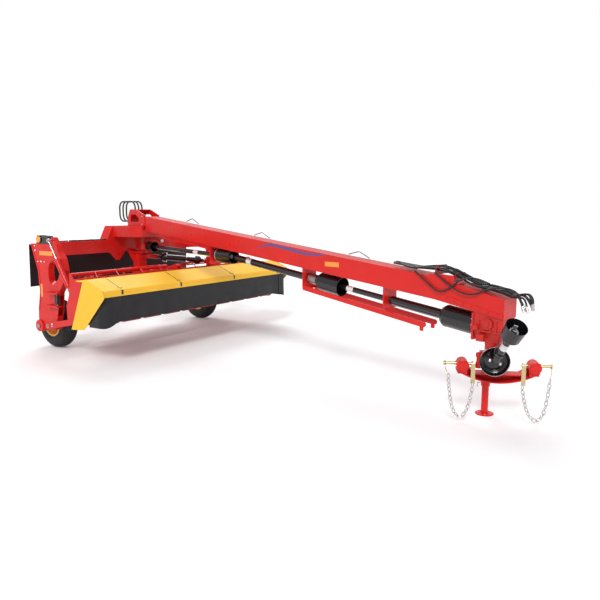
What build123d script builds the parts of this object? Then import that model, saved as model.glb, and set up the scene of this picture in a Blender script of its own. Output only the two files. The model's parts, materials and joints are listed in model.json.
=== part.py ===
"""Centre-pivot towed mower conditioner, four metre cut, parked on its jack.

Millimetres. +X is the machine's right, +Y is forward, +Z is up. The model is laid out round
the tongue pivot on the ground plane, then moved so that the origin lies under the middle of
its footprint.
"""
from build123d import *
from math import atan2, cos, degrees, hypot, radians, sin
import os

# ---------------------------------------------------------------- driving dimensions
FOOTPRINT_CENTRE = (0, 3107)    # middle of the footprint, seen from the tongue pivot

RUNNING = 0.05                  # radial clearance of a pin or shaft that turns in its bore
SEAT = 0.3                      # gap between a piece and the seat of another body
DRIFT = 6                       # room at a linkage's open joint, along the shaft
PLATE = 12                      # frame plate
SHEET = 4                       # shields and covers
TUBE_WALL = 8                   # the header's square tubes

# widths, worked out from the cut towards the wheels
DISC_COUNT = 10
DISC_PITCH = 392
LEG_WIDTH = 100
ARM_THICK = 16
TYRE_WIDTH = 252
TYRE_GAP = 72                   # between a tyre's side and its leg
HALF_CUT = DISC_COUNT * DISC_PITCH / 2
CUT_END = HALF_CUT + 30
END_PLATE = HALF_CUT - 16
SHIELD_X = END_PLATE + 122
DOOR_HALF = SHIELD_X - 12
CYLINDER_X = END_PLATE - 28
ARM_OUT = END_PLATE - 44
ARM_IN = ARM_OUT - ARM_THICK
LEG_OUT = ARM_IN - 16
LEG_IN = LEG_OUT - LEG_WIDTH
HALF_TRACK = LEG_IN - TYRE_GAP - TYRE_WIDTH / 2

# wheels
TYRE_RADIUS = 380
RIM_RADIUS = 197
AXLE_Y = -170
SPINDLE_RADIUS = 32

# trail frame
EAR_INSET = 20                  # the cylinder ear's faces, in from the leg's
BEAM_REAR = -510
BEAM_FRONT = -310
BEAM_LOW = 1390
BEAM_TOP = 1600
CORNER = (LEG_IN - 290, LEG_IN - 128)    # where the beam's mitred end starts, front and rear
CORNER_JOINT = (-300, -100)     # y limits of that end on the leg
SLAB_HALF = 360
SLAB_LOW = 1650
SLAB_TOP = 1830
SLAB_FRONT = 250
KINGPIN_RADIUS = 75
POST_HALF = 78
POST_FRONT = 0
POST_REAR = -150
POST_LOW = 950
POST_CAP = 1375
REAR_SHIELD_HALF = LEG_OUT - 178
LAMP_Y = (-170, 118)

# header lift, a parallel linkage on each side
ARM_PIVOT = (60, 400)           # y, z of the lower links' rear pivot
LINK_LENGTH = 650
LINK_RISE = 11.0                # degrees above level when the header is raised
TOP_PIVOT = (185, 1062)         # y, z of the top link's rear pivot
PIN_RADIUS = 20
TORSION_TUBE = (345, 452)       # y, z of the tube that joins the lower links
CYLINDER_FOOT = (735, 860)      # y, z of the lift cylinder's lower eye, on the header's end plate
CYLINDER_HEAD = (215, 1658)     # y, z of its upper eye, on the leg's ear
CYLINDER_RADIUS = 26
CYLINDER_CAN = 39               # radius of the spring can round its upper part
CYLINDER_ROD = 12
CYLINDER_PIN = 10
CYLINDER_EYE = (26, 14)         # radius and half width of its eyes
CYLINDER_BARREL = 640
CYLINDER_INSIDE = 470           # how much of the rod stays in the barrel when it is closed

# header
DOOR_HINGE = (1215, 1160)
LIP = (1560, 1035)
LIP_LOW = 950
CURTAIN_LOW = 535
HOOD_REAR = (1000, 1131)
BAR_Y = (1010, 1330)
BAR_Z = (540, 602)
DISC_Y = 1180
DISC_LONG = 172
DISC_SHORT = 128
DISC_SHAFT = 25
KNIFE_TIP = 230
HINGES = (554 - DOOR_HALF, 0, DOOR_HALF - 554)
ROLL_RADIUS = 105
ROLL_HALF = END_PLATE - 614
ROLL_Y = (720, 760)
ROLL_Z = (690, 925)
ROLL_SHAFT = 30
ROLL_RIBS = 12
RIDGE = (722, 1190)             # y, z of the round tube behind the hood
RIDGE_RADIUS = 30
RIDGE_ENDS = (950, 150)         # where it stops short of the drive shaft and the top link
HEAD_BOX = (-760, 900, 1222)    # middle of the header gearbox
JOINT_BALL = 30
POST_OUT = (-190, 215, 1300)    # the post's output joint

# tongue
SWING = 10.4                    # degrees to the right of straight ahead
TONGUE_WIDTH = 260
TONGUE_DEPTH = 232
TONGUE_TOP = 2023               # height of the tongue's top edge, run back to the pivot
HITCH_ALONG = 6470              # swivel axis, along the tongue from its pivot
REACH = HITCH_ALONG / 6470      # share by which the tongue's length departs from its own
TONGUE_FALL = 0.106 / REACH
TONGUE_START = 330
TONGUE_END = HITCH_ALONG + 150
TAPER_START = TONGUE_END - 760
TONGUE_NOSE = (1044, 1240)      # lower and upper height at the front end
HEAD_TOP = 2105
HEAD_REAR = -215
HOSE_RADIUS = 13
HOSE_RISE = 2238                # height of the hoses that loop out behind the head
HOSE_BACK = -600
HOSE_LOW = 1905
HOSE_BEND = 115
KINGPIN_LOW = 1640
GEAR_Z = (1442, 1604)
FRONT_BOX_LOW = 800
FRONT_BOX = (HITCH_ALONG - 170, HITCH_ALONG + 142)    # rear and front faces of the gearbox under the tongue's nose
FRONT_BOX_WAIST = 905
SWING_LUG = (-170, 330)         # end of the swing lever: left of, and along, the tongue
SWING_BASE = (-760, -262)
SWING_Z = 1582
SWING_BARREL = 530
SWING_PIN = 18
SWING_LEVER = (24, 44)          # the lever's faces, above the cylinder's centre line
JOURNAL = 30
RAIL_X = 108
RAIL_SIZE = (24, 58)
RAIL_END = (5720 * REACH, 885)
# hangers: segment, place along the tongue, drop below the shaft
HANGERS = [(0, 2050 * REACH, 132), (1, 3950 * REACH, 132), (2, 5200 * REACH, 92)]

# hitch
HITCH_TURN = 55.0               # degrees to the right of the tongue
HITCH_PIN_Z = 568
HITCH_PIN_RADIUS = 14.3
PIN_SPAN = (232, 520)           # inner and outer end of each pin, from the cross bar's middle
PIN_SHOULDER = 410
JACK_RADIUS = 35
JACK_FOOT = 92
JACK_AT = (38, -182)
CROSS_SHIFT = -41               # sideways offset of the cross bar on the swivel
CROSS_LOW = 394
CROSS_TOP = 490
CROSS_TIP = (398, 508)          # half length and height of the cross bar's upturned tips
CROSS_KNUCKLE = 340
CROSS_WALL = 12
PTO_X = 24
PTO_Z = 660
PTO_Y = 275
PTO_LEAN = 18.0                 # sideways lean of the folded drive shaft
PTO_END = 405
PTO_TUBE = 27
PTO_BORE = 17.5
PTO_BORE_DEPTH = 76
PTO_FOLD = 55.0                 # how far the drive shaft is folded up from straight ahead

# driveline under the tongue: name, start and end (along, height), (distance, radius) profile
SHAFTS = [
    ("driveline_rear", 205, 1492, 2405, 1428,
     [(0, 30), (10, 40), (110, 40), (120, 34), (1815, 34), (1816, JOURNAL), (1880, JOURNAL),
      (1881, 34), (2080, 34), (2090, 42), (2190, 42), (2200, 30)]),
    ("driveline_middle", 2470, 1424, 4205, 1208,
     [(0, 30), (10, 42), (90, 42), (100, 46), (1450, 46), (1451, JOURNAL), (1530, JOURNAL),
      (1531, 36), (1630, 36), (1640, 44), (1740, 44), (1748, 30)]),
    ("driveline_front", 4290, 1200, 6170, 966,
     [(0, 30), (10, 44), (130, 44), (140, 34), (876, 34), (877, JOURNAL), (950, JOURNAL),
      (951, 52), (1640, 52), (1650, 36), (1780, 36), (1790, 40), (1880, 40)]),
]
SEGMENTS = []
for name, y0, z0, y1, z1, profile in SHAFTS:
    near = y0 if name == "driveline_rear" else y0 * REACH
    far = y1 * REACH
    share = (far - near) / (y1 - y0)
    SEGMENTS.append((name, near, z0, far, z1, [(distance * share, radius) for distance, radius in profile]))
# bells over the joints: segment, start along the tongue, (distance, radius) profile, rear hole;
# a bell's rim leans back with its shaft, less as the tongue gets longer, and stays clear of its hanger
BELLS = [(0, 185.1 + 1.9 / REACH, [(0, 66), (40, 84), (200, 88)], 46),
         (0, HANGERS[0][1] + 7.2 + 2.3 / REACH, [(0, 78), (60, 100), (400 * REACH, 101)], 40),
         (1, HANGERS[1][1] + 7.3 + 7.5 / REACH,
          [(0, 60), (150 * REACH, 62), (210 * REACH, 112), (545 * REACH, 116)], 40),
         (2, FRONT_BOX[0] - 400, [(0, 94), (34, 116), (368, 116)], 56)]
BELL_WALL = 5


# ---------------------------------------------------------------- helpers
def block(x, y, z):
    """A box between pairs of limits."""
    size = [abs(pair[1] - pair[0]) for pair in (x, y, z)]
    return Pos(sum(x) / 2, sum(y) / 2, sum(z) / 2) * Box(*size)


def tube_block(x, y, z, wall, axis):
    """A rectangular tube, open at both ends along one axis."""
    limits = [x, y, z]
    inner = [pair if i == axis else (min(pair) + wall, max(pair) - wall) for i, pair in enumerate(limits)]
    return block(*limits) - block(*inner)


def plate_x(points, x_low, x_high):
    """A plate with a side outline of (y, z) points, between two x values."""
    face = make_face(Polyline(*points, close=True))
    return extrude(Plane.YZ.offset(x_low) * face, x_high - x_low)


def plate_y(points, y_low, y_high):
    """A plate with a front outline of (x, z) points, between two y values."""
    face = make_face(Polyline(*points, close=True))
    return extrude(Plane.XZ.offset(-y_high) * face, y_high - y_low)


def rod(start, end, radius, inner=0):
    """A round bar, or a tube, from one point to another."""
    run = Vector(*end) - Vector(*start)
    lift = Plane(origin=start, z_dir=run)
    solid = Cylinder(radius, run.length, align=(Align.CENTER, Align.CENTER, Align.MIN))
    if inner:
        solid -= Cylinder(inner, run.length, align=(Align.CENTER, Align.CENTER, Align.MIN))
    return lift * solid


def column(x, y, low, high, radius):
    """An upright round piece between two heights."""
    return rod((x, y, low), (x, y, high), radius)


def turned(start, end, profile):
    """A revolved piece on the line from start to end; profile is (distance, radius) points."""
    run = Vector(*end) - Vector(*start)
    outline = [(0, profile[0][0])] + [(r, d) for d, r in profile] + [(0, profile[-1][0])]
    face = make_face(Polyline(*outline, close=True))
    return Plane(origin=start, z_dir=run) * revolve(Plane.XZ * face, Axis.Z)


def shell_turned(start, end, profile, wall):
    """An open bell: profile is (distance, radius) points of the outside, open at the last."""
    run = Vector(*end) - Vector(*start)
    outside = [(r, d) for d, r in profile]
    inside = [(r - wall, d + (wall if i == 0 else 0)) for i, (d, r) in enumerate(profile)]
    face = make_face(Polyline((0, profile[0][0]), *outside, *inside[::-1],
                              (0, profile[0][0] + wall), close=True))
    return Plane(origin=start, z_dir=run) * revolve(Plane.XZ * face, Axis.Z)


def mirrored(shape):
    """The piece with its twin on the other side of the machine."""
    return [shape, mirror(shape, Plane.YZ)]


def on_tongue(shape):
    """Turn a piece built straight ahead to where the tongue points."""
    return Rot(0, 0, -SWING) * shape


def on_hitch(shape):
    """Place a piece built round the hitch's swivel axis, facing ahead."""
    return on_tongue(Pos(0, HITCH_ALONG, 0) * (Rot(0, 0, -HITCH_TURN) * shape))


def tongue_top(along):
    """Height of the tongue's top edge."""
    return TONGUE_TOP - TONGUE_FALL * along


def link_end(pivot):
    """The raised front end of a header link that starts at a pivot."""
    rise = radians(LINK_RISE)
    return (pivot[0] + LINK_LENGTH * cos(rise), pivot[1] + LINK_LENGTH * sin(rise))


def fused(pieces):
    """One solid from pieces that overlap."""
    total = pieces[0]
    for piece in pieces[1:]:
        total += piece
    return total


NODES = {}


# ---------------------------------------------------------------- trail frame
def cross_beam():
    """Hollow cross beam, stepped up to the pivot slab and mitred forward to the legs."""
    step = SLAB_HALF + 120
    outline = [(-CORNER[0], BEAM_LOW), (-CORNER[0], BEAM_TOP), (-step, BEAM_TOP), (-SLAB_HALF, SLAB_TOP),
               (SLAB_HALF, SLAB_TOP), (step, BEAM_TOP), (CORNER[0], BEAM_TOP), (CORNER[0], BEAM_LOW)]
    beam = plate_y(outline, BEAM_REAR, BEAM_FRONT)
    plan = [(CORNER[0] - 1, BEAM_REAR), (CORNER[1], BEAM_REAR), (LEG_IN, CORNER_JOINT[0]),
            (LEG_IN, CORNER_JOINT[1]), (CORNER[0] - 1, BEAM_FRONT)]
    end = extrude(Plane.XY.offset(BEAM_LOW) * make_face(Polyline(*plan, close=True)), BEAM_TOP - BEAM_LOW)
    beam += end + mirror(end, Plane.YZ)
    for side in (-1, 1):
        arm = sorted((side * (step + 60), side * (CORNER[0] - 40)))
        beam -= block(arm, (BEAM_REAR + PLATE, BEAM_FRONT - PLATE), (BEAM_LOW + PLATE, BEAM_TOP - PLATE))
        gusset = [(120, BEAM_LOW + 1), (450, BEAM_LOW + 1), (310, 1255), (235, 1255)]
        beam += plate_y([(side * x, z) for x, z in gusset], BEAM_FRONT - PLATE, BEAM_FRONT)
    slab = block((-SLAB_HALF, SLAB_HALF), (BEAM_FRONT - 1, SLAB_FRONT), (SLAB_LOW, SLAB_TOP))
    slab = chamfer(slab.edges().filter_by(Axis.Z).sort_by(Axis.Y)[-2:], 150)
    beam += slab
    foot = (SWING_BASE[0] - 42, SWING_BASE[0] + 42)
    beam += block(foot, (BEAM_FRONT - 1, SWING_BASE[1] + 34), (SWING_Z - 52, SWING_Z - 38))
    beam += rod((*SWING_BASE, SWING_Z - 45), (*SWING_BASE, SWING_Z + 26), SWING_PIN)
    beam -= Pos(0, 0, SLAB_LOW) * Cylinder(KINGPIN_RADIUS + RUNNING, 600)
    return beam


def leg(side):
    """Side leg: a plate box with a window, carrying the wheel spindle at its foot."""
    outline = [(-300, BEAM_TOP), (330, BEAM_TOP), (345, 1500), (430, 1400), (465, 1230), (430, 1040),
               (320, 900), (285, 640), (250, 520), (200, 350), (60, 320), (-40, 345), (-120, 300),
               (-215, 330), (-200, 600), (-135, 900), (-155, 1214)]
    plate = plate_x(outline, LEG_IN, LEG_OUT)
    window = plate_x([(95, 1235), (140, 1330), (290, 1425), (385, 1400), (405, 1250), (320, 1100),
                      (200, 1010), (105, 1060)], LEG_IN - 5, LEG_OUT + 5)
    plate -= fillet(window.edges().filter_by(Axis.X), 22)
    plate -= block((LEG_IN + PLATE, LEG_OUT - PLATE), (-120, 330), (560, 860))
    hub = rod((LEG_IN, AXLE_Y, TYRE_RADIUS), (LEG_OUT + 25, AXLE_Y, TYRE_RADIUS), 88)
    plate += hub
    plate -= rod((LEG_IN - 1, AXLE_Y, TYRE_RADIUS), (LEG_OUT + 26, AXLE_Y, TYRE_RADIUS), SPINDLE_RADIUS)
    ear = plate_x([(130, BEAM_TOP - 1), (328, BEAM_TOP - 1), (252, 1702), (180, 1702)],
                  LEG_IN + EAR_INSET, LEG_OUT - EAR_INSET)
    plate += ear
    plate -= rod((LEG_IN - 1, *ARM_PIVOT), (LEG_OUT + 1, *ARM_PIVOT), PIN_RADIUS + RUNNING)
    return plate if side > 0 else mirror(plate, Plane.YZ)


def trail_frame():
    NODES["cross_beam"] = cross_beam()
    NODES["leg_right"] = leg(1)
    NODES["leg_left"] = leg(-1)
    axle = (AXLE_Y, TYRE_RADIUS)
    spindle = rod((HALF_TRACK - 150, *axle), (LEG_OUT + 40, *axle), SPINDLE_RADIUS)
    NODES["wheel_spindles"] = mirrored(spindle)
    post_top = BEAM_LOW + 5
    post = block((-POST_HALF, POST_HALF), (POST_REAR, POST_FRONT), (POST_LOW + 60, post_top))
    post += block((-105, 105), (POST_REAR - 10, 110), (POST_CAP, post_top))
    flare = loft([Plane.XY.offset(POST_LOW) * Rectangle(330, 250),
                  Plane.XY.offset(POST_LOW + 110) * Rectangle(2 * POST_HALF, POST_FRONT - POST_REAR)])
    post += Pos(0, (POST_FRONT + POST_REAR) / 2, 0) * flare
    web = plate_x([(BEAM_FRONT, BEAM_LOW + 45), (BEAM_FRONT, BEAM_LOW), (POST_REAR + 1, 1180),
                   (POST_REAR + 1, BEAM_LOW)], -60, 60)
    post += web
    post += rod((0, 0, post_top - 1), (0, 0, GEAR_Z[0] - 8 - SEAT), 60)
    way = shaft_way() * -1
    post += rod(Vector(*POST_OUT) - way * 330, Vector(*POST_OUT) - way * (JOINT_BALL + SEAT), 40)
    for side in (-1, 1):
        lug = plate_x([(POST_FRONT - 2, 990), (TOP_PIVOT[0] + 20, TOP_PIVOT[1] - 34),
                       (TOP_PIVOT[0] + 30, TOP_PIVOT[1] + 30), (POST_FRONT - 2, 1130)], 46, 60)
        post += lug if side > 0 else mirror(lug, Plane.YZ)
    post += rod((-58, *TOP_PIVOT), (58, *TOP_PIVOT), PIN_RADIUS)
    NODES["center_post"] = post
    shield = plate_x([(-600, 1560), (-640, 1575), (-664, 915), (-660, 910), (-636, 1568), (-602, 1554)],
                     -REAR_SHIELD_HALF, REAR_SHIELD_HALF)
    for x in (390 - REAR_SHIELD_HALF, -500, 500, REAR_SHIELD_HALF - 390):
        shield += plate_x([(BEAM_REAR, 1450), (BEAM_REAR, 1588), (-598, 1562), (-641, 1560), (-643, 1510)],
                          x - 5, x + 5)
    NODES["rear_shield"] = shield
    lamp = block((LEG_IN + 20, LEG_OUT - 10), LAMP_Y, (BEAM_TOP, BEAM_TOP + 126))
    lamp = fillet(lamp.edges().filter_by(Axis.X).sort_by(Axis.Z)[-2:], 45)
    NODES["lamp_housings"] = mirrored(lamp)
    eye = (LAMP_Y[0] + 72, BEAM_TOP + 66)
    lens = rod((LEG_OUT - 10, *eye), (LEG_OUT + 6, *eye), 42)
    NODES["lamp_lenses"] = mirrored(lens)


# ---------------------------------------------------------------- wheels
def wheel(side):
    centre = side * HALF_TRACK
    half = TYRE_WIDTH / 2
    shoulder = [(8, 205), (0, 255), (6, 300), (20, 332), (44, TYRE_RADIUS - 24), (78, TYRE_RADIUS - 8),
                (half, TYRE_RADIUS)]
    tyre = [(inset - half, r) for inset, r in shoulder] + [(half - inset, r) for inset, r in shoulder[-2::-1]]
    start = (centre, AXLE_Y, TYRE_RADIUS)
    end = (centre + 1, AXLE_Y, TYRE_RADIUS)
    ring = turned(start, end, tyre) - turned(start, end, [(-half - 5, RIM_RADIUS), (half + 5, RIM_RADIUS)])
    rim = turned(start, end, [(-half + 10, RIM_RADIUS), (half - 10, RIM_RADIUS)])
    rim -= turned(start, end, [(-half, RIM_RADIUS - 22), (-60, RIM_RADIUS - 42), (-8, RIM_RADIUS - 60)])
    rim -= turned(start, end, [(8, RIM_RADIUS - 60), (60, RIM_RADIUS - 42), (half, RIM_RADIUS - 22)])
    hub = rod((centre - side * 120, AXLE_Y, TYRE_RADIUS), (centre + side * 165, AXLE_Y, TYRE_RADIUS), 70)
    bore = rod((centre - 300, AXLE_Y, TYRE_RADIUS), (centre + 300, AXLE_Y, TYRE_RADIUS), SPINDLE_RADIUS + RUNNING)
    return rim + hub - bore, ring


def wheels():
    for name, side in (("right", 1), ("left", -1)):
        NODES["rim_" + name], NODES["tyre_" + name] = wheel(side)


# ---------------------------------------------------------------- header lift
def lift():
    """Lower links joined by a torsion tube, top link, and a lift cylinder on each side."""
    rear, front = ARM_PIVOT, link_end(ARM_PIVOT)
    arm = plate_x([(rear[0], rear[1] - 50), (front[0], front[1] - 42), (front[0], front[1] + 42),
                   (rear[0], rear[1] + 50)], ARM_IN, ARM_OUT)
    arm += rod((ARM_IN, *rear), (ARM_OUT, *rear), 52) + rod((ARM_IN, *front), (ARM_OUT, *front), 46)
    arm -= rod((ARM_IN - 1, *front), (ARM_OUT + 1, *front), PIN_RADIUS + RUNNING)
    arm += rod((LEG_IN + 4, *rear), (ARM_OUT - 2, *rear), PIN_RADIUS)
    tube = rod((-ARM_OUT, *TORSION_TUBE), (ARM_OUT, *TORSION_TUBE), 42, 34)
    NODES["lift_arms"] = fused([tube - block((-3000, 3000), (0, 1), (0, 1)), arm, mirror(arm, Plane.YZ)])

    link_rear, link_front = TOP_PIVOT, link_end(TOP_PIVOT)
    link = rod((-40, *link_rear), (40, *link_rear), 34) + rod((-40, *link_front), (40, *link_front), 34)
    link += rod((0, *link_rear), (0, *link_front), 26)
    link -= rod((-41, *link_rear), (41, *link_rear), PIN_RADIUS + RUNNING)
    link -= rod((-41, *link_front), (41, *link_front), PIN_RADIUS + 2)
    NODES["top_link"] = link

    foot = Vector(CYLINDER_X, *CYLINDER_FOOT)
    head = Vector(CYLINDER_X, *CYLINDER_HEAD)
    along = (head - foot).normalized()
    barrel = turned(foot, head, [(60, 20), (68, CYLINDER_RADIUS), (176, CYLINDER_RADIUS), (190, CYLINDER_CAN),
                                 (CYLINDER_BARREL - 14, CYLINDER_CAN), (CYLINDER_BARREL, CYLINDER_RADIUS)])
    barrel += rod(foot, foot + along * 80, 12)
    half_eye = Vector(CYLINDER_EYE[1], 0, 0)
    barrel += rod(foot - half_eye, foot + half_eye, CYLINDER_EYE[0])
    barrel -= rod(foot - half_eye * 2, foot + half_eye * 2, CYLINDER_PIN + RUNNING)
    barrel -= rod(foot + along * 90, foot + along * (CYLINDER_BARREL + 5), CYLINDER_ROD + RUNNING)
    NODES["lift_barrels"] = mirrored(barrel)
    piston = rod(foot + along * (CYLINDER_BARREL - CYLINDER_INSIDE), head - along * 20, CYLINDER_ROD)
    piston += rod(head - half_eye, head + half_eye, CYLINDER_EYE[0])
    ear_face = LEG_OUT - EAR_INSET
    piston += rod((ear_face + SEAT, *CYLINDER_HEAD), (CYLINDER_X + 16, *CYLINDER_HEAD), CYLINDER_PIN)
    NODES["lift_rods"] = mirrored(piston)


# ---------------------------------------------------------------- header
def header_frame():
    """End plates, rear and front top tubes, and the beam that carries the cutterbar."""
    front = link_end(ARM_PIVOT)
    outline = [(front[0] - 70, front[1] - 40), (BAR_Y[0] - 70, BAR_Z[0] - 20), (BAR_Y[0], BAR_Z[0] - 20),
               (BAR_Y[0], 900), (1180, 1062), (1180, 1130), (1000, 1130), (990, 1142), (800, 1142),
               (RIDGE[0] + 34, RIDGE[1] + 30), (RIDGE[0] - 12, RIDGE[1] + 30), (RIDGE[0] - 12, 1010),
               (front[0] - 20, 890), (front[0] - 80, 760)]
    plate = plate_x(outline, END_PLATE, END_PLATE + PLATE)
    plate += rod((CYLINDER_X - 14, *CYLINDER_FOOT), (END_PLATE + 1, *CYLINDER_FOOT), CYLINDER_PIN)
    plate += rod((ARM_IN - 8, *front), (END_PLATE + 1, *front), PIN_RADIUS)
    width = (-END_PLATE - 1, END_PLATE + 1)
    rear_tube = tube_block(width, (790, 870), (1062, 1142), TUBE_WALL, 0)
    front_tube = tube_block(width, (1110, 1180), (1061, 1131), TUBE_WALL, 0)
    beam = tube_block(width, (BAR_Y[0] - 80, BAR_Y[0]), (BAR_Z[0] - 18, BAR_Z[1] + 2), TUBE_WALL, 0)
    frame = fused([plate, mirror(plate, Plane.YZ), rear_tube, front_tube, beam])
    for x in (-ROLL_HALF - 15, -460, 460, ROLL_HALF + 15):
        frame += block((x - 20, x + 20), (869, 1111), (1075, 1125))
    for side, inner in zip((-1, 1), RIDGE_ENDS):
        frame += rod((side * inner, *RIDGE), (side * (END_PLATE + 1), *RIDGE), RIDGE_RADIUS, RIDGE_RADIUS - 6)
        for x in (inner + 30, (inner + END_PLATE) / 2, END_PLATE - 300):
            outline = [(RIDGE[0] - 10, RIDGE[1] - 26), (791, 1100), (791, 1141), (RIDGE[0] + 10, RIDGE[1] - 4)]
            strap = plate_x(outline, side * x - 8, side * x + 8)
            frame += strap - rod((side * x - 9, *RIDGE), (side * x + 9, *RIDGE), RIDGE_RADIUS - 6)
    link_front = link_end(TOP_PIVOT)
    for side in (-1, 1):
        lug = plate_x([(790, 1141), (868, 1141), (850, link_front[1] + 30),
                       (link_front[0] - 34, link_front[1] + 30), (link_front[0] - 34, 1141)], 46, 60)
        frame += lug if side > 0 else mirror(lug, Plane.YZ)
    frame += rod((-58, *link_front), (58, *link_front), PIN_RADIUS)
    return frame


def cutterbar():
    """Flat gear case with a skid shoe and a spindle boss under each disc."""
    case = block((-CUT_END, CUT_END), (BAR_Y[0], BAR_Y[1] - 60), BAR_Z)
    nose = plate_x([(BAR_Y[1] - 61, BAR_Z[0]), (BAR_Y[1] - 20, BAR_Z[0] + 6), (BAR_Y[1], BAR_Z[0] + 30),
                    (BAR_Y[1] - 30, BAR_Z[1]), (BAR_Y[1] - 61, BAR_Z[1])], -CUT_END, CUT_END)
    case += nose
    rear, front, low = BAR_Y[0] + 10, BAR_Y[1], BAR_Z[0]
    for x in disc_places():
        case += column(x, DISC_Y, BAR_Z[1] - 1, BAR_Z[1] + 12, 52)
        shoe = plate_x([(rear, low - 12), (front - 40, low - 12), (front + 4, low + 24), (front - 2, low + 30),
                        (front - 46, low + 1), (rear, low + 1)], x - 150, x + 150)
        case += shoe
    for x in disc_places():
        case -= column(x, DISC_Y, BAR_Z[1] - 36, BAR_Z[1] + 24, DISC_SHAFT + RUNNING)
    return case


def disc_places():
    return [(i - (DISC_COUNT - 1) / 2) * DISC_PITCH for i in range(DISC_COUNT)]


def disc(number, x):
    """Oval cutting disc with a domed cap and two swinging knives."""
    low = BAR_Z[1] + 12 + SEAT
    oval = Pos(0, 0, low) * extrude(Ellipse(DISC_LONG, DISC_SHORT), 14)
    cap = Pos(0, 0, low + 13) * Cone(100, 62, 26, align=(Align.CENTER, Align.CENTER, Align.MIN))
    cap += Pos(0, 0, low + 38) * Cylinder(40, 14, align=(Align.CENTER, Align.CENTER, Align.MIN))
    solid = oval + cap
    solid += column(0, 0, BAR_Z[1] - 34, BAR_Z[1] + 16, DISC_SHAFT)
    for side in (-1, 1):
        knife = Pos(side * (DISC_LONG + 10), 0, low + 2) * Box(2 * (KNIFE_TIP - DISC_LONG - 10), 46, 5,
                                                             align=(Align.CENTER, Align.CENTER, Align.MIN))
        solid += knife
    turn = 0 if number % 2 else 90
    return Pos(x, DISC_Y, 0) * (Rot(0, 0, turn) * solid)


def roll(y, z, phase):
    """Ribbed conditioning roll on its shaft."""
    core = rod((-ROLL_HALF, y, z), (ROLL_HALF, y, z), ROLL_RADIUS - 16)
    core += rod((-ROLL_HALF - 60, y, z), (ROLL_HALF + 60, y, z), ROLL_SHAFT)
    for i in range(ROLL_RIBS):
        angle = phase + i * 360 / ROLL_RIBS
        rib = block((-ROLL_HALF, ROLL_HALF), (ROLL_RADIUS - 22, ROLL_RADIUS), (-9, 9))
        core += Pos(0, y, z) * (Rot(angle, 0, 0) * rib)
    return core


def conditioner_housing():
    """Side plates that carry the rolls, with the curved hood that throws the crop rearward."""
    front = BAR_Y[0] - 84
    side = plate_x([(560, 560), (front, 560), (front, 900), (1088, 1062), (580, 1062), (520, 900)],
                   ROLL_HALF + 12, ROLL_HALF + 12 + PLATE)
    for y, z in zip(ROLL_Y, ROLL_Z):
        side -= rod((ROLL_HALF, y, z), (ROLL_HALF + 40, y, z), ROLL_SHAFT + RUNNING)
    tray = plate_x([(front - 6, 600), (front - 6, 606), (860, 560), (858, 555)], -ROLL_HALF - 13, ROLL_HALF + 13)
    top = plate_x([(1088, 1056), (1088, 1062), (560, 1062), (380, 1000), (384, 995), (562, 1056)],
                  -ROLL_HALF - 24, ROLL_HALF + 24)
    return fused([side, mirror(side, Plane.YZ), tray, top])


def end_shield():
    """Yellow end panel with the sloped front edge that the curtain comes out from."""
    panel = plate_x([(872, 462), (1150, 482), (1595, 945), (1580, 1010), (1550, 1050), (1225, 1178),
                     (1165, 1142)], SHIELD_X, SHIELD_X + 6)
    for y, z in ((930, 520), (1150, 1100), (1075, 880)):
        panel += rod((END_PLATE + PLATE, y, z), (SHIELD_X + 1, y, z), 14)
    return panel


def hood_rear():
    """Fixed rear strip of the hood with the hinge pins of the front door."""
    rear, low = HOOD_REAR
    strip = plate_x([(rear, low), (1192, low), (1192, low + SHEET), (rear + 8, low + SHEET), (rear, low + 14)],
                    -DOOR_HALF, DOOR_HALF)
    pin_y, pin_z = DOOR_HINGE
    for x in HINGES:
        for side in (-1, 1):
            lug = plate_x([(1150, low + 1), (1191, low + 1), (pin_y + 9, pin_z - 9), (pin_y + 7, pin_z + 9),
                           (pin_y - 10, pin_z + 9)], *sorted((x + side * 40, x + side * 50)))
            strip += lug
        strip += rod((x - 49, *DOOR_HINGE), (x + 49, *DOOR_HINGE), 7)
    return strip


def front_door():
    """Sloping hood panel with its turned-down lip; the curtain hangs inside the lip."""
    pin_y, pin_z = DOOR_HINGE
    y0, z0 = pin_y + 14, pin_z + 8
    lip_y, lip_z = LIP
    outline = [(y0, z0), (lip_y, lip_z), (lip_y + 10, lip_z - 20), (lip_y + 10, LIP_LOW), (lip_y + 4, LIP_LOW),
               (lip_y + 4, lip_z - 22), (lip_y - 5, lip_z - 7), (y0, z0 - 6)]
    panel = plate_x(outline, -DOOR_HALF, DOOR_HALF)
    for x in HINGES:
        panel += rod((x - 36, *DOOR_HINGE), (x + 36, *DOOR_HINGE), 13)
        panel += plate_x([(pin_y, pin_z + 10), (y0 + 6, z0 - 2), (y0 + 6, z0 - 7), (pin_y, pin_z - 4)],
                         x - 36, x + 36)
        panel -= rod((x - 60, *DOOR_HINGE), (x + 60, *DOOR_HINGE), 7 + SEAT)
    return panel


def curtain():
    """Hanging crop curtain that wraps round both front corners."""
    front = LIP[0] + 3.7
    side = DOOR_HALF - 8
    corner = 150
    outer = Rectangle(2 * side, 2 * (front - 1180))
    outer = fillet(outer.vertices(), corner)
    inner = Rectangle(2 * side - 8, 2 * (front - 1180) - 8)
    inner = fillet(inner.vertices(), corner - 4)
    band = Pos(0, 1180, CURTAIN_LOW) * extrude(outer - inner, 700)
    band &= block((-3000, 3000), (1200, 2000), (0, 2000))
    band -= block((-3000, 3000), (1100, 1240), (1100, 2000))
    y0, z0 = DOOR_HINGE[0] + 14, DOOR_HINGE[1] + 8
    slope = (LIP[1] - z0) / (LIP[0] - y0)
    under = [(y, z0 - 30 + slope * (y - y0)) for y in (1100, 1700)]
    return band - plate_x([*under, (1700, 2400), (1100, 2400)], -3000, 3000)


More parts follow.
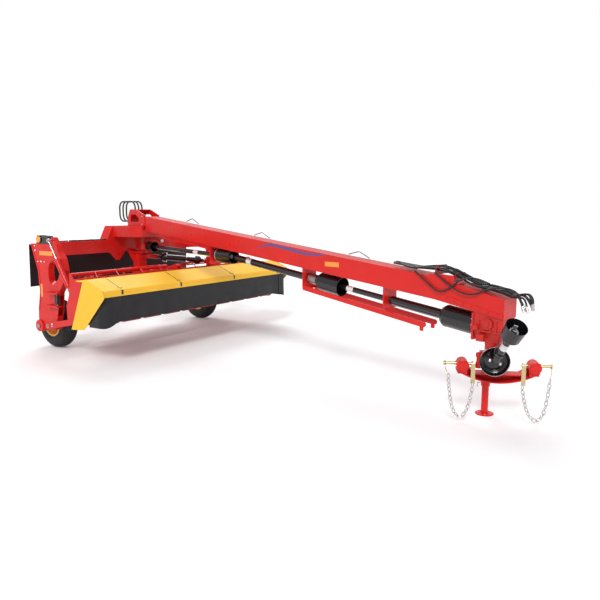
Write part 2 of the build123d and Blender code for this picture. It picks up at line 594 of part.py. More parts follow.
def header_gearbox():
    """Right-angle gearbox on the header with its input collar."""
    box = block((HEAD_BOX[0] - 95, HEAD_BOX[0] + 95), (812, 988), (1142, 1300))
    box = chamfer(box.edges().filter_by(Axis.Z), 30)
    way = shaft_way()
    start = Vector(*HEAD_BOX)
    box += rod(start + way * 20, head_joint() - way * (JOINT_BALL + DRIFT), 40)
    return box


def shaft_way():
    """Unit vector from the header gearbox to the post's output."""
    return (Vector(*POST_OUT) - Vector(*HEAD_BOX)).normalized()


def head_joint():
    """Centre of the joint at the header end of the drive shaft."""
    return Vector(*HEAD_BOX) + shaft_way() * 175


def header():
    NODES["header_frame"] = header_frame()
    NODES["cutterbar"] = cutterbar()
    for number, x in enumerate(disc_places(), start=1):
        NODES[f"cutting_disc_{number:02d}"] = disc(number, x)
    NODES["conditioner_housing"] = conditioner_housing()
    for name, y, z, phase in zip(("lower", "upper"), ROLL_Y, ROLL_Z, (0, 180 / ROLL_RIBS)):
        NODES["roll_" + name] = roll(y, z, phase)
    NODES["end_shields"] = mirrored(end_shield())
    NODES["hood_rear"] = hood_rear()
    NODES["hood_door"] = front_door()
    NODES["door_curtain"] = curtain()
    NODES["header_gearbox"] = header_gearbox()
    start, end = Vector(*POST_OUT), head_joint()
    way = (end - start).normalized()
    reach = (end - start).length
    split = reach * 0.62
    outer = turned(start, end, [(20, 34), (46, 74), (118, 84), (120, 50), (split - 30, 50), (split, 46)])
    outer -= rod(start + way * 140, start + way * (split + 5), 22 + RUNNING)
    outer += Pos(*start) * (Sphere(JOINT_BALL) + rod((-34, 0, 0), (34, 0, 0), 11))
    NODES["header_shaft"] = outer
    inner = turned(start, end, [(reach * 0.45, 22), (split + 8, 22), (split + 9, 42), (reach - 122, 42),
                                (reach - 120, 74), (reach - 50, 68), (reach - 20, 34)])
    NODES["header_shaft_slide"] = inner + Pos(*end) * Sphere(JOINT_BALL)


# ---------------------------------------------------------------- tongue
def tongue():
    """Box tongue, its head over the pivot, and what hangs under it."""
    top, low = tongue_top, lambda a: tongue_top(a) - TONGUE_DEPTH
    half = TONGUE_WIDTH / 2
    start, taper, end = TONGUE_START, TAPER_START, TONGUE_END
    outline = [(start, low(start)), (taper, low(taper)), (end, TONGUE_NOSE[0]),
               (end, TONGUE_NOSE[1]), (taper, top(taper)), (start, top(start))]
    beam = plate_x(outline, -half, half)
    hollow = [(start + 60, low(start) + 4), (taper, low(taper) + 10), (end - 40, TONGUE_NOSE[0] + 16),
              (end - 40, TONGUE_NOSE[1] - 10), (taper, top(taper) - 10), (start + 60, top(start) - 18)]
    beam -= plate_x(hollow, -half + 8, half - 8)
    rib_end = HANGERS[0][1] - 14
    rib = [(520, low(520) + 1), (rib_end, low(rib_end) + 1), (rib_end - 56, low(rib_end - 56) - 62),
           (700, low(700) - 62)]
    beam += plate_x(rib, -half + 30, half - 30)
    NODES["tongue_beam"] = on_tongue(beam)

    head_low = SLAB_TOP + SEAT
    side = plate_x([(HEAD_REAR, head_low), (HEAD_REAR, 1950), (-120, HEAD_TOP), (70, HEAD_TOP),
                    (start, top(start) + 22), (start, head_low)], half, half + PLATE)
    window = [(-120, 1900), (-90, 2020), (60, 2020), (150, 1960), (150, 1900)]
    side -= plate_x(window, half - 1, half + PLATE + 1)
    floor = block((-half - PLATE, half + PLATE), (HEAD_REAR, start), (head_low, head_low + 20))
    back = plate_x([(HEAD_REAR, head_low), (HEAD_REAR, 1950), (-120, HEAD_TOP), (-108, HEAD_TOP - 14),
                    (HEAD_REAR + 12, 1944), (HEAD_REAR + 12, head_low)], -half - 1, half + 1)
    roof = block((-half - 1, half + 1), (-121, 71), (HEAD_TOP - 14, HEAD_TOP))
    nose = block((-half - 1, half + 1), (start - 21, start), (head_low, top(start)))
    pin = column(0, 0, KINGPIN_LOW, head_low + 10, KINGPIN_RADIUS)
    NODES["tongue_head"] = on_tongue(fused([side, mirror(side, Plane.YZ), floor, back, roof, nose, pin]))

    hoses = []
    for x in (-64, 0, 64):
        route = [(x, -80, HEAD_TOP + SEAT), (x, -80, HOSE_RISE), (x, HOSE_BACK, HOSE_RISE),
                 (x, HOSE_BACK, HOSE_LOW), (x, HEAD_REAR - SEAT, HOSE_LOW)]
        line = FilletPolyline(*route, radius=HOSE_BEND)
        section = Plane(origin=route[0], z_dir=(0, 0, 1)) * Circle(HOSE_RADIUS)
        hoses.append(on_tongue(sweep(section, path=line)))
    NODES["head_hoses"] = hoses

    gearbox = block((-95, 95), (-95, 150), (GEAR_Z[0], GEAR_Z[1]))
    gearbox = chamfer(gearbox.edges().filter_by(Axis.Z), 40)
    gearbox += column(0, 0, GEAR_Z[1] - 1, KINGPIN_LOW, KINGPIN_RADIUS + 18)
    gearbox += column(0, 0, GEAR_Z[0] - 8, GEAR_Z[0] + 2, 62)
    gearbox += rod((0, 149, SEGMENTS[0][2]), (0, 185, SEGMENTS[0][2]), 60)
    reach, turn = hypot(*SWING_LUG), degrees(atan2(SWING_LUG[1], SWING_LUG[0]))
    low_face, top_face = (SWING_Z + level for level in SWING_LEVER)
    lever = Rot(0, 0, turn) * block((60, reach), (-42, 42), (low_face, top_face))
    lever += rod((*SWING_LUG, low_face), (*SWING_LUG, top_face), 42)
    lever += rod((*SWING_LUG, top_face - 1), (*SWING_LUG, top_face + 8), SWING_PIN)
    NODES["swivel_gearbox"] = on_tongue(gearbox + lever)

    rear, face = FRONT_BOX
    case = plate_x([(rear, FRONT_BOX_WAIST), (face, FRONT_BOX_WAIST), (face, nose_low(face)),
                    (rear, nose_low(rear))], -118, 118)
    mouth = Pos(0, HITCH_ALONG - 20) * Rectangle(176, 220)
    waist = Pos(0, (rear + face) / 2) * Rectangle(236, face - rear)
    funnel = loft([Plane.XY.offset(FRONT_BOX_LOW) * mouth, Plane.XY.offset(FRONT_BOX_WAIST + 1) * waist])
    case += funnel
    case += block((-130, 130), (rear + 8, face + 8), (FRONT_BOX_WAIST, FRONT_BOX_WAIST + 16))
    for y in range(rear + 60, face - 20, 60):
        case += block((-129, 129), (y, y + 12), (FRONT_BOX_WAIST + 1, nose_low(face) - 30))
    case += block((-128, 128), (rear - 14, rear + 8), (FRONT_BOX_LOW + 14, nose_low(rear) - 14))
    case += rod(on_line(2, SEGMENTS[2][3] + 8), on_line(2, rear + 20), BELLS[-1][2][-1][1] - BELL_WALL - SEAT)
    case += column(0, HITCH_ALONG, FRONT_BOX_LOW - 24, FRONT_BOX_LOW + 6, 90)
    NODES["front_gearbox"] = on_tongue(case)

    bells = []
    for segment, along, profile, hole in BELLS:
        start, way = on_line(segment, along), line_way(segment)
        bell = shell_turned(start, start + way, profile, BELL_WALL)
        bells.append(bell - rod(start - way, start + way * 8, hole))
    NODES["driveline_bells"] = [on_tongue(bell) for bell in bells]

    brackets = []
    for segment, along, drop in HANGERS:
        centre, way = on_line(segment, along), line_way(segment)
        plate = block((-half + 10, half - 10), (along - 7, along + 7), (centre.Z - drop, low(along + 7)))
        plate -= rod(centre - way * 20, centre + way * 20, JOURNAL + RUNNING)
        brackets.append(plate)
    rear = HANGERS[1][1]
    for x in (-RAIL_X, RAIL_X):
        start = (x, rear + 6, on_line(1, rear).Z - HANGERS[1][2] + 16)
        end = (x, *RAIL_END)
        run = Vector(*end) - Vector(*start)
        bar = Box(*RAIL_SIZE, run.length, align=(Align.CENTER, Align.CENTER, Align.MIN))
        bar = Plane(origin=start, x_dir=(1, 0, 0), z_dir=run) * bar
        bar += Pos(*end) * (Rot(0, 90, 0) * Cylinder(RAIL_SIZE[1] / 2, RAIL_SIZE[0]))
        brackets.append(bar)
    NODES["driveline_brackets"] = [on_tongue(solid) for solid in joined(brackets)]

    for name, y0, z0, y1, z1, profile in SEGMENTS:
        NODES[name] = on_tongue(turned((0, y0, z0), (0, y1, z1), profile))

    back = TONGUE_END - 830
    plate = block((half + 1, half + 7), (back, back + 290), (low(back) + 120, top(back) + 24))
    NODES["hose_bracket"] = on_tongue(plate)


def line_way(segment):
    """Unit vector along one stretch of the driveline."""
    name, y0, z0, y1, z1, profile = SEGMENTS[segment]
    return Vector(0, y1 - y0, z1 - z0).normalized()


def on_line(segment, along):
    """The point of one stretch of the driveline at a distance along the tongue."""
    name, y0, z0, y1, z1, profile = SEGMENTS[segment]
    return Vector(0, along, z0 + (along - y0) * (z1 - z0) / (y1 - y0))


def joined(pieces):
    """Fuse pieces that touch and keep the rest apart."""
    total = pieces[0]
    for piece in pieces[1:]:
        total += piece
    return total.solids()


def nose_low(along):
    """Height of the tongue's lower edge on its tapered front."""
    start = tongue_top(TAPER_START) - TONGUE_DEPTH
    share = (along - TAPER_START) / (TONGUE_END - TAPER_START)
    return start + (TONGUE_NOSE[0] - start) * share


def swing_cylinder():
    """Swing cylinder from the beam to the tongue's lug."""
    eye = Vector(*SWING_LUG, SWING_Z).rotate(Axis.Z, -SWING)
    base = Vector(*SWING_BASE, SWING_Z)
    way = (eye - base).normalized()
    up = Vector(0, 0, 1)
    barrel = rod(base + way * 30, base + way * SWING_BARREL, 33)
    barrel += rod(base - up * 20, base + up * 20, 34)
    barrel -= rod(base - up * 21, base + up * 21, SWING_PIN + RUNNING)
    barrel -= rod(base + way * 60, base + way * (SWING_BARREL + 5), 20 + RUNNING)
    NODES["swing_barrel"] = barrel
    piston = rod(base + way * 360, eye - way * 22, 20)
    piston += rod(eye - up * 20, eye + up * 20, 34)
    piston += rod(eye - up * 26, eye + up * (SWING_LEVER[0] - SEAT), SWING_PIN)
    NODES["swing_rod"] = piston


# ---------------------------------------------------------------- hitch
def hitch():
    """Swivel housing, boat-shaped cross bar, hitch pins, jack and folding drive shaft."""
    sections = ((CROSS_TOP, 190, 170), (560, 200, 190), (692, 150, 150))
    housing = loft([Plane.XY.offset(z) * Rectangle(wide, deep) for z, wide, deep in sections])
    housing += column(0, 0, 690, FRONT_BOX_LOW - 24 - SEAT, 88)
    housing += rod((PTO_X, 40, PTO_Z), (PTO_X, PTO_Y - 100, PTO_Z), 72)
    housing += rod((PTO_X, 60, PTO_Z), (PTO_X, PTO_Y - 24 - SEAT, PTO_Z), 20)
    NODES["hitch_housing"] = on_hitch(housing)

    bar = boat(0, CROSS_TOP, -72, 72) - boat(CROSS_WALL, CROSS_TOP, 12 - 72, 73)
    for side in (-1, 1):
        bar += rod((side * CROSS_KNUCKLE, -50, HITCH_PIN_Z), (side * CROSS_KNUCKLE, 90, HITCH_PIN_Z), 58)
        bar += block(sorted((side * (CROSS_KNUCKLE - 50), side * (CROSS_KNUCKLE + 45))), (-72, 72),
                     (CROSS_TOP - 10, HITCH_PIN_Z - 20))
        bar -= rod((side * 200, 0, HITCH_PIN_Z), (side * 500, 0, HITCH_PIN_Z), HITCH_PIN_RADIUS + RUNNING)
    bar = Pos(CROSS_SHIFT, 0, 0) * bar
    sleeve = column(*JACK_AT, 300, 470, JACK_RADIUS + 10)
    sleeve += block((JACK_AT[0] - 40, JACK_AT[0] + 40), (JACK_AT[1], -71), (CROSS_LOW + 24, CROSS_TOP - 6))
    bar += sleeve
    bar -= column(*JACK_AT, 290, 700, JACK_RADIUS + RUNNING)
    NODES["hitch_crossbar"] = on_hitch(bar)

    pins = []
    for side in (-1, 1):
        pin = turned((CROSS_SHIFT + side * PIN_SPAN[0], 0, HITCH_PIN_Z),
                     (CROSS_SHIFT + side * PIN_SPAN[1], 0, HITCH_PIN_Z), pin_profile())
        pins.append(pin)
    NODES["hitch_pins"] = [on_hitch(pin) for pin in pins]

    leg = column(*JACK_AT, 8, 508, JACK_RADIUS) + column(*JACK_AT, 0, 10, JACK_FOOT)
    leg -= column(*JACK_AT, 60, 660, JACK_RADIUS - 6)
    NODES["jack_leg"] = on_hitch(leg)

    start, end = (PTO_X, PTO_Y - 99, PTO_Z), (PTO_X, PTO_Y, PTO_Z)
    lower = shell_turned(start, end, [(0, 88), (28, 130), (84, 140)], 4)
    lower -= rod((PTO_X, PTO_Y - 105, PTO_Z), (PTO_X, PTO_Y - 90, PTO_Z), 50)
    NODES["pto_cone"] = on_hitch(lower)
    base = Vector(PTO_X, PTO_Y, PTO_Z)
    way = Vector(*pto_way())
    shaft = turned(base, base + way, [(10, 18), (36, 40), (90, 40), (100, 34), (298, 34), (303, PTO_TUBE),
                                      (PTO_END, PTO_TUBE)])
    shaft -= rod(base + way * (PTO_END - PTO_BORE_DEPTH), base + way * (PTO_END + 5), PTO_BORE)
    shaft += Pos(*base) * Sphere(24)
    cross = Vector(cos(radians(PTO_LEAN)), 0, sin(radians(PTO_LEAN))) * 34
    shaft += rod(base - cross, base + cross, 10)
    NODES["pto_shaft"] = on_hitch(shaft)
    bell = shell_turned(base + way * 325, base + way * 500, [(0, 62), (36, 92), (184, 102)], 4)
    bell -= rod(base + way * 320, base + way * 335, PTO_TUBE + RUNNING)
    NODES["pto_bell"] = on_hitch(bell)


def pin_profile():
    """Hitch pin along its length: head, shank through the knuckle, shoulder, then the seat."""
    length, shoulder = PIN_SPAN[1] - PIN_SPAN[0], PIN_SHOULDER - PIN_SPAN[0]
    shank = HITCH_PIN_RADIUS
    return [(0, 24), (15, 24), (15, shank), (shoulder - 8, shank), (shoulder - 8, 24), (shoulder, 24),
            (shoulder, shank), (length - 4, shank), (length, shank - 4)]


def boat(inset, top, y_low, y_high):
    """The cross bar's outline, an arc with upturned tips, drawn in by a wall and made solid."""
    tip, rise = CROSS_TIP
    foot = ThreePointArc((inset - tip, rise + inset), (0, CROSS_LOW + inset), (tip - inset, rise + inset))
    brow = Polyline((tip - inset, rise + inset), (tip - 22 - inset, rise + 20), (tip - 130, rise + 20),
                    (tip - 190, top - inset), (190 - tip, top - inset), (130 - tip, rise + 20),
                    (22 - tip + inset, rise + 20), (inset - tip, rise + inset))
    face = make_face(foot + brow)
    return extrude(Plane.XZ.offset(-y_high) * face, y_high - y_low)


def pto_way():
    """Unit vector of the folded drive shaft, in the hitch's own directions."""
    lean, fold = radians(PTO_LEAN), radians(PTO_FOLD)
    return (-sin(lean) * sin(fold), cos(fold), cos(lean) * sin(fold))


trail_frame()
wheels()
lift()
header()
tongue()
swing_cylinder()
hitch()

# ---------------------------------------------------------------- write
os.makedirs("parts", exist_ok=True)
for name, shape in NODES.items():
    pieces = shape if isinstance(shape, list) else [shape]
    solids = [solid for piece in pieces for solid in piece.solids()]
    placed = Compound(solids).moved(Location((-FOOTPRINT_CENTRE[0], -FOOTPRINT_CENTRE[1], 0)))
    export_step(placed, "parts/" + name + ".step")
    print(name, len(solids))
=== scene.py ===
"""Looks for the centre-pivot mower conditioner: finishes for the CAD parts, and the tyres,
curtain, hoses, chains, bolts and small trim that are made here. Metres, in the part's frame.

Places are given from the tongue pivot, with x to the right, y forward and z up. Three frames
turn them into the part's frame: the machine's own, the tongue's and the hitch's.
"""
import json
import math

import bpy
import numpy as np
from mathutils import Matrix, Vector


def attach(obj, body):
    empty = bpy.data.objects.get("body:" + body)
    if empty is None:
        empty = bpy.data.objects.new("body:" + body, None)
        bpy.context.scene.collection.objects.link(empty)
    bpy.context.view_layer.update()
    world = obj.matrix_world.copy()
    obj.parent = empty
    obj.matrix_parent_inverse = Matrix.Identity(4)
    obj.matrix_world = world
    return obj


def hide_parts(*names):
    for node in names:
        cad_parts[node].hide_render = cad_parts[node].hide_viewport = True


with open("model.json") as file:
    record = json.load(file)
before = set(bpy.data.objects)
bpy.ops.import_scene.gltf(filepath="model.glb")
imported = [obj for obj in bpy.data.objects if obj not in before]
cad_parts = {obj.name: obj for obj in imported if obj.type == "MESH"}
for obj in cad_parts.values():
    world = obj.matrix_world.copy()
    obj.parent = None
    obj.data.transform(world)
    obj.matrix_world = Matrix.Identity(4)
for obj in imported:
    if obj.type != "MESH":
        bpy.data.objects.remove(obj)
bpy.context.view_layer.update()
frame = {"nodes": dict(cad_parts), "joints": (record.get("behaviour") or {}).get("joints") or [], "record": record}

# ---- frames
JOINTS = {joint["name"]: joint for joint in frame["joints"]}
MOUNTS = {mount["name"]: mount for mount in frame["record"]["mounts"]}
PIVOT = np.array([*JOINTS["tongue_swing"]["pos_m"][:2], 0.0])
SWIVEL = np.array([*JOINTS["hitch_turn"]["pos_m"][:2], 0.0]) - PIVOT
TONGUE_HEADING = math.atan2(SWIVEL[0], SWIVEL[1])
PIN_AXIS = MOUNTS["hitch_pin_right"]["axis"]
HITCH_HEADING = math.atan2(-PIN_AXIS[1], PIN_AXIS[0])
SIDES = ((1, "right"), (-1, "left"))
UP = (0, 0, 1)


def turned_by(points, heading):
    """Points turned clockwise, seen from above, by a heading in radians."""
    east = (math.cos(heading), -math.sin(heading), 0.0)
    north = (math.sin(heading), math.cos(heading), 0.0)
    return np.asarray(points, float) @ np.array([east, north, UP])


def machine(points):
    """From the machine's own frame to the part's frame."""
    return np.asarray(points, float) + PIVOT


def mirrored(points, side):
    """From the machine's right side to the part's frame, on the left when side is -1."""
    return machine(np.asarray(points, float) * (side, 1, 1))


def tongue(points):
    """From the tongue's frame, (right, along, height), to the part's frame."""
    return turned_by(points, TONGUE_HEADING) + PIVOT


def hitch(points):
    """From the hitch's frame, centred on the swivel axis, to the part's frame."""
    return turned_by(points, HITCH_HEADING) + SWIVEL + PIVOT


def along(frame_of, way):
    """A direction given in one of the three frames, in the part's frame."""
    return frame_of(way) - frame_of((0, 0, 0))


# ---- finishes
SLOT_FINISH = {}                        # the first finish made for each slot of the CAD parts


def fill(tree, node, values):
    """Give a shader node's inputs, by name or number, their values or another's output."""
    for key, value in values.items():
        if isinstance(value, bpy.types.NodeSocket):
            tree.links.new(value, node.inputs[key])
        else:
            node.inputs[key].default_value = value
    return node


def add_node(tree, kind, values, **settings):
    """A new shader node with its inputs filled in."""
    node = tree.nodes.new("ShaderNode" + kind)
    for key, value in settings.items():
        setattr(node, key, value)
    return fill(tree, node, values)


def finish(name, slot, colour, rough, vary, scale, grain=0.0, grain_scale=400.0, metallic=0.0,
           coat=0.0, rough_vary=0.12, dust=0.0, specular=0.5):
    """A look, which is a material and its slot: cloudy colour, uneven gloss and fine grain.

    Colour = the base mixed towards a darker copy by noise on Object coordinates. Roughness =
    the base plus or minus rough_vary by a second noise. Dust = a pale film that gathers on
    faces that look up, broken up by noise. Grain = fine noise as a bump.
    """
    material = bpy.data.materials.new(name)
    material.use_nodes = True
    tree = material.node_tree
    place = add_node(tree, "TexCoord", {}).outputs["Object"]

    def noise(size, detail):
        values = {"Vector": place, "Scale": size, "Detail": detail}
        return add_node(tree, "TexNoise", values).outputs["Fac"]

    def spread(source, low, high, out_low, out_high):
        values = {"Value": source, "From Min": low, "From Max": high,
                  "To Min": out_low, "To Max": out_high}
        return add_node(tree, "MapRange", values).outputs["Result"]

    def mixed(factor, first, second):
        # the mix node's colour sockets are inputs 6 and 7 and output 2
        values = {"Factor": factor, 6: first, 7: second}
        return add_node(tree, "Mix", values, data_type="RGBA").outputs[2]

    darker = [part * (1.0 - 2.6 * vary) for part in colour]
    base = mixed(spread(noise(scale, 6.0), 0.38, 0.72, 0.0, 0.55), (*colour, 1), (*darker, 1))
    if dust:
        normal = add_node(tree, "NewGeometry", {}).outputs["Normal"]
        upward = add_node(tree, "SeparateXYZ", {"Vector": normal}).outputs["Z"]
        film = add_node(tree, "Math", {0: spread(upward, 0.3, 1.0, 0.0, dust),
                                       1: spread(noise(scale * 3.0, 8.0), 0.35, 0.65, 0.3, 1.0)},
                        operation="MULTIPLY")
        base = mixed(film.outputs["Value"], base, (0.42, 0.38, 0.32, 1))
    low, high = max(0.03, rough - rough_vary), min(1.0, rough + rough_vary)
    values = {"Base Color": base, "Metallic": metallic, "Specular IOR Level": specular,
              "Roughness": spread(noise(scale * 2.3, 5.0), 0.3, 0.7, low, high),
              "Coat Weight": coat, "Coat Roughness": 0.12}
    if grain:
        bump = {"Strength": grain, "Distance": 0.0006, "Height": noise(grain_scale, 3.0)}
        values["Normal"] = add_node(tree, "Bump", bump).outputs["Normal"]
    fill(tree, tree.nodes["Principled BSDF"], values)
    SLOT_FINISH.setdefault(slot, material)
    return material, slot


# name, slot, colour, roughness, cloudiness and its scale, grain and its scale
RED = finish("red_enamel", "red_paint", (0.7, 0.013, 0.009), 0.36, 0.08, 3.0, 0.1, 260.0,
             coat=0.15, dust=0.02, specular=0.28)
CASTING = finish("red_casting_enamel", "red_casting", (0.62, 0.018, 0.012), 0.42, 0.1, 6.0, 0.7,
                 170.0, coat=0.15, specular=0.35, dust=0.06)
DARK_RED = finish("dark_red_enamel", "dark_red_paint", (0.34, 0.018, 0.016), 0.45, 0.12, 7.0,
                  0.3, 200.0, coat=0.15, dust=0.1)
RIM_YELLOW = finish("yellow_rim_enamel", "yellow_rim_paint", (0.86, 0.44, 0.035), 0.34, 0.08,
                    8.0, 0.15, coat=0.35, dust=0.05)
HOOD_YELLOW = finish("yellow_hood_moulding", "yellow_hood", (0.97, 0.56, 0.045), 0.52, 0.05, 2.2,
                     0.25, 320.0, rough_vary=0.06, specular=0.22)
BLACK_SHEET = finish("black_sheet_paint", "black_sheet", (0.012, 0.012, 0.014), 0.44, 0.07, 5.0,
                     0.15, rough_vary=0.05)
BLACK_PLASTIC = finish("black_moulding", "black_plastic", (0.008, 0.008, 0.01), 0.24, 0.15,
                       12.0, 0.2, 520.0, coat=0.35)
AMBER = finish("amber_lens_moulding", "amber_lens", (0.95, 0.36, 0.02), 0.14, 0.06, 40.0, 0.5,
               300.0, coat=0.7)
CURTAIN_RUBBER = finish("curtain_rubber", "curtain_rubber", (0.01, 0.01, 0.012), 0.44, 0.14,
                        4.0, 0.55, 750.0, specular=0.4, rough_vary=0.08, dust=0.02)
TYRE_RUBBER = finish("tyre_rubber", "tyre_rubber", (0.02, 0.02, 0.021), 0.72, 0.18, 16.0, 0.5,
                     600.0, dust=0.1)
BARE_STEEL = finish("worn_steel", "bare_steel", (0.42, 0.41, 0.4), 0.4, 0.12, 14.0, 0.3, 500.0,
                    metallic=0.9)
BLACK_PAINT = finish("black_enamel", "black_paint", (0.008, 0.008, 0.01), 0.16, 0.12, 8.0, 0.12,
                     coat=0.7, rough_vary=0.05)
# chrome for the lift rods: its pink tint is a painted reflection of the red paint round it, not the metal's own
# colour
CHROME_PINK_REFLECTION = finish("chrome_with_painted_red_reflection", "chrome_rod", (0.5, 0.43, 0.43), 0.14, 0.02, 10.0,
                metallic=1.0, rough_vary=0.04)
GOLD_ZINC = finish("yellow_zinc_plate", "zinc_plate", (0.72, 0.58, 0.3), 0.32, 0.1, 30.0,
                   0.2, 800.0, metallic=0.9)
ROLL_RUBBER = finish("roll_rubber", "roll_rubber", (0.035, 0.035, 0.037), 0.66, 0.14, 12.0, 0.5,
                     500.0, dust=0.05)
HOSE_RUBBER = finish("hose_rubber", "hose_rubber", (0.013, 0.013, 0.014), 0.42, 0.15, 30.0, 0.4,
                     900.0)

# looks of the trim alone; the flat decals have no slot
ZINC = finish("bright_zinc_plate", "bare_steel", (0.68, 0.68, 0.67), 0.34, 0.08, 30.0, 0.2,
              800.0, metallic=0.85)
REFLECTOR = finish("orange_reflector", "amber_lens", (0.98, 0.3, 0.02), 0.22, 0.05, 60.0, 0.8,
                   900.0, coat=0.5)
DECAL = finish("blank_white_decal", None, (0.8, 0.8, 0.79), 0.35, 0.03, 30.0, 0.05)
STRIPE = finish("plain_stripe", None, (0.13, 0.07, 0.24), 0.35, 0.03, 30.0, 0.05)
PLATED = (ZINC[0], "zinc_plate")
ROUGH_RED = (CASTING[0], "red_paint")
DEEP_RED = (DARK_RED[0], "red_paint")
STEM_RUBBER = (HOSE_RUBBER[0], "tyre_rubber")

for subpart in frame["record"]["subparts"]:
    materials = frame["nodes"][subpart["node"]].data.materials
    if not materials:
        materials.append(None)
    for index in range(len(materials)):
        materials[index] = SLOT_FINISH[subpart["material_slot"]]


# ---- surfaces
def even(count, first=0.0):
    """Angles of even steps round a circle."""
    return first + np.arange(count) * 2 * math.pi / count


def ramp(value, start, width):
    """0 up to the start, 1 from a width beyond it, and straight between."""
    return np.clip((value - start) / width, 0, 1)


def circle(centre, radius, angles, plane):
    """Points round a centre at the given angles, in the plane of two axes by number."""
    points = np.tile(np.asarray(centre, float), (len(angles), 1))
    points[:, plane[0]] += radius * np.cos(angles)
    points[:, plane[1]] += radius * np.sin(angles)
    return points


def grid_faces(rows, cols, wrap_rows=False, wrap_cols=False):
    """Quads that join each point of a rows x cols grid to its neighbours."""
    row = np.arange(rows if wrap_rows else rows - 1)
    col = np.arange(cols if wrap_cols else cols - 1)
    row, col = np.meshgrid(row, col, indexing="ij")
    next_row, next_col = (row + 1) % rows, (col + 1) % cols
    corners = [row * cols + col, row * cols + next_col,
               next_row * cols + next_col, next_row * cols + col]
    return np.stack(corners, -1).reshape(-1, 4).tolist()


def capped(rows, cols):
    """Faces of a grid that wraps round its columns and is closed at both ends."""
    faces = grid_faces(rows, cols, wrap_cols=True)
    faces.append(list(range(cols))[::-1])
    faces.append(list(range((rows - 1) * cols, rows * cols)))
    return faces


def mesh_object(name, points, faces, material):
    """An object of one material from points and faces."""
    mesh = bpy.data.meshes.new(name)
    mesh.from_pydata(np.asarray(points).reshape(-1, 3).tolist(), [], faces)
    mesh.update()
    mesh.materials.append(material)
    thing = bpy.data.objects.new(name, mesh)
    bpy.context.scene.collection.objects.link(thing)
    return thing


def piece(name, points, faces, look, body, smooth=True, angle=None):
    """One mesh object from points in the part's frame, riding on a body."""
    material, slot = look
    thing = mesh_object(name, points, faces, material)
    thing.data.polygons.foreach_set("use_smooth", [smooth] * len(faces))
    if angle:
        thing.data.set_sharp_from_angle(angle=math.radians(angle))
    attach(thing, body)
    return thing


def unit(vector):
    """A vector, or each row of an array of them, at length one."""
    vector = np.asarray(vector, float)
    return vector / np.linalg.norm(vector, axis=-1, keepdims=True)


def cross_frame(way):
    """Two unit vectors square to a direction and to each other."""
    way = unit(way)
    helper = np.eye(3)[np.argmin(np.abs(way))]
    first = unit(np.cross(helper, way))
    return first, np.cross(way, first)


def lathe_points(profile, start, way, sides):
    """Revolved grid: each (distance, radius) pair is a ring square to the way."""
    profile = np.asarray(profile, float)
    first, second = cross_frame(way)
    angle = even(sides)
    ring = np.outer(np.cos(angle), first) + np.outer(np.sin(angle), second)
    axis = np.asarray(start) + profile[:, :1] * unit(way)
    return axis[:, None, :] + profile[:, 1][:, None, None] * ring[None]


def lathe(name, profile, start, way, look, body, sides=32, angle=35):
    """A closed revolved piece from (distance, radius) pairs along a direction."""
    points = lathe_points(profile, start, way, sides)
    return piece(name, points, capped(len(profile), sides), look, body, True, angle)


def turned_loop(name, outline, start, way, look, body, sides=28):
    """A hollow revolved piece: a closed (distance, radius) outline carried round the way."""
    points = lathe_points(outline, start, way, sides)
    return piece(name, points, grid_faces(len(outline), sides, True, True), look, body, True, 35)


def band(name, start, way, first, last, inner, outer, look, body):
    """A thin ring round a shaft, from one distance along it to another."""
    outline = [(first, inner), (last, inner), (last, outer), (first, outer)]
    return turned_loop(name, outline, start, way, look, body)


def through(points, per_span=8):
    """Catmull-Rom curve through points: each span blends its four nearest by cubics."""
    points = np.asarray(points, float)
    padded = np.concatenate([2 * points[:1] - points[1:2], points,
                             2 * points[-1:] - points[-2:-1]])
    t = np.linspace(0, 1, per_span, endpoint=False)[None, :, None]
    p0, p1, p2, p3 = (padded[i:len(padded) - 3 + i][:, None, :] for i in range(4))
    curve = 0.5 * (2 * p1 + (p2 - p0) * t + (2 * p0 - 5 * p1 + 4 * p2 - p3) * t ** 2
                   + (3 * p1 - p0 - 3 * p2 + p3) * t ** 3)
    return np.concatenate([curve.reshape(-1, points.shape[1]), points[-1:]])


def tube_points(path, radius, sides):
    """A ring of points square to each step of a path.

    The ring's first axis is the path's thinnest direction, made square to the tangent, so a
    path in one plane never twists.
    """
    path = np.asarray(path, float)
    tangent = unit(np.gradient(path, axis=0))
    thinnest = np.linalg.svd(path - path.mean(0))[2][2]
    first = unit(thinnest - (tangent @ thinnest)[:, None] * tangent)
    second = np.cross(tangent, first)
    angle = even(sides)[None, :, None]
    ring = first[:, None] * np.cos(angle) + second[:, None] * np.sin(angle)
    return path[:, None] + radius * ring


def tubes(name, paths, radius, look, body, sides=10):
    """Closed round tubes carried along paths, as one piece."""
    points, faces, count = [], [], 0
    for path in paths:
        grid = tube_points(path, radius, sides)
        faces += [[index + count for index in face] for face in capped(len(grid), sides)]
        points.append(grid.reshape(-1, 3))
        count += len(points[-1])
    return piece(name, np.concatenate(points), faces, look, body)


def tube(name, path, radius, look, body, sides=10):
    """A closed round tube carried along one path."""
    return tubes(name, [path], radius, look, body, sides)


def repeated(name, shape, faces, centres, frames, look, body, smooth=False):
    """Copies of a small shape: each is turned by its frame and moved to its centre."""
    centres = np.asarray(centres, float)
    points = np.einsum("kj,njc->nkc", shape, np.asarray(frames)) + centres[:, None]
    every = [[index + n * len(shape) for index in face]
             for n in range(len(centres)) for face in faces]
    return piece(name, points, every, look, body, smooth)


def bolts(name, centres, ways, radius, height, body, look=ZINC, sides=6):
    """Hexagon heads: a short prism with its outer edge turned down, one at each centre."""
    profile = [(-0.3 * height, radius), (0.0, radius), (0.75 * height, radius),
               (height, 0.8 * radius)]
    shape = lathe_points(profile, (0, 0, 0), UP, sides).reshape(-1, 3)
    ways = unit(np.broadcast_to(ways, (len(centres), 3)))
    frames = np.stack([np.stack([*cross_frame(way), way]) for way in ways])
    return repeated(name, shape, capped(len(profile), sides), centres, frames, look, body)


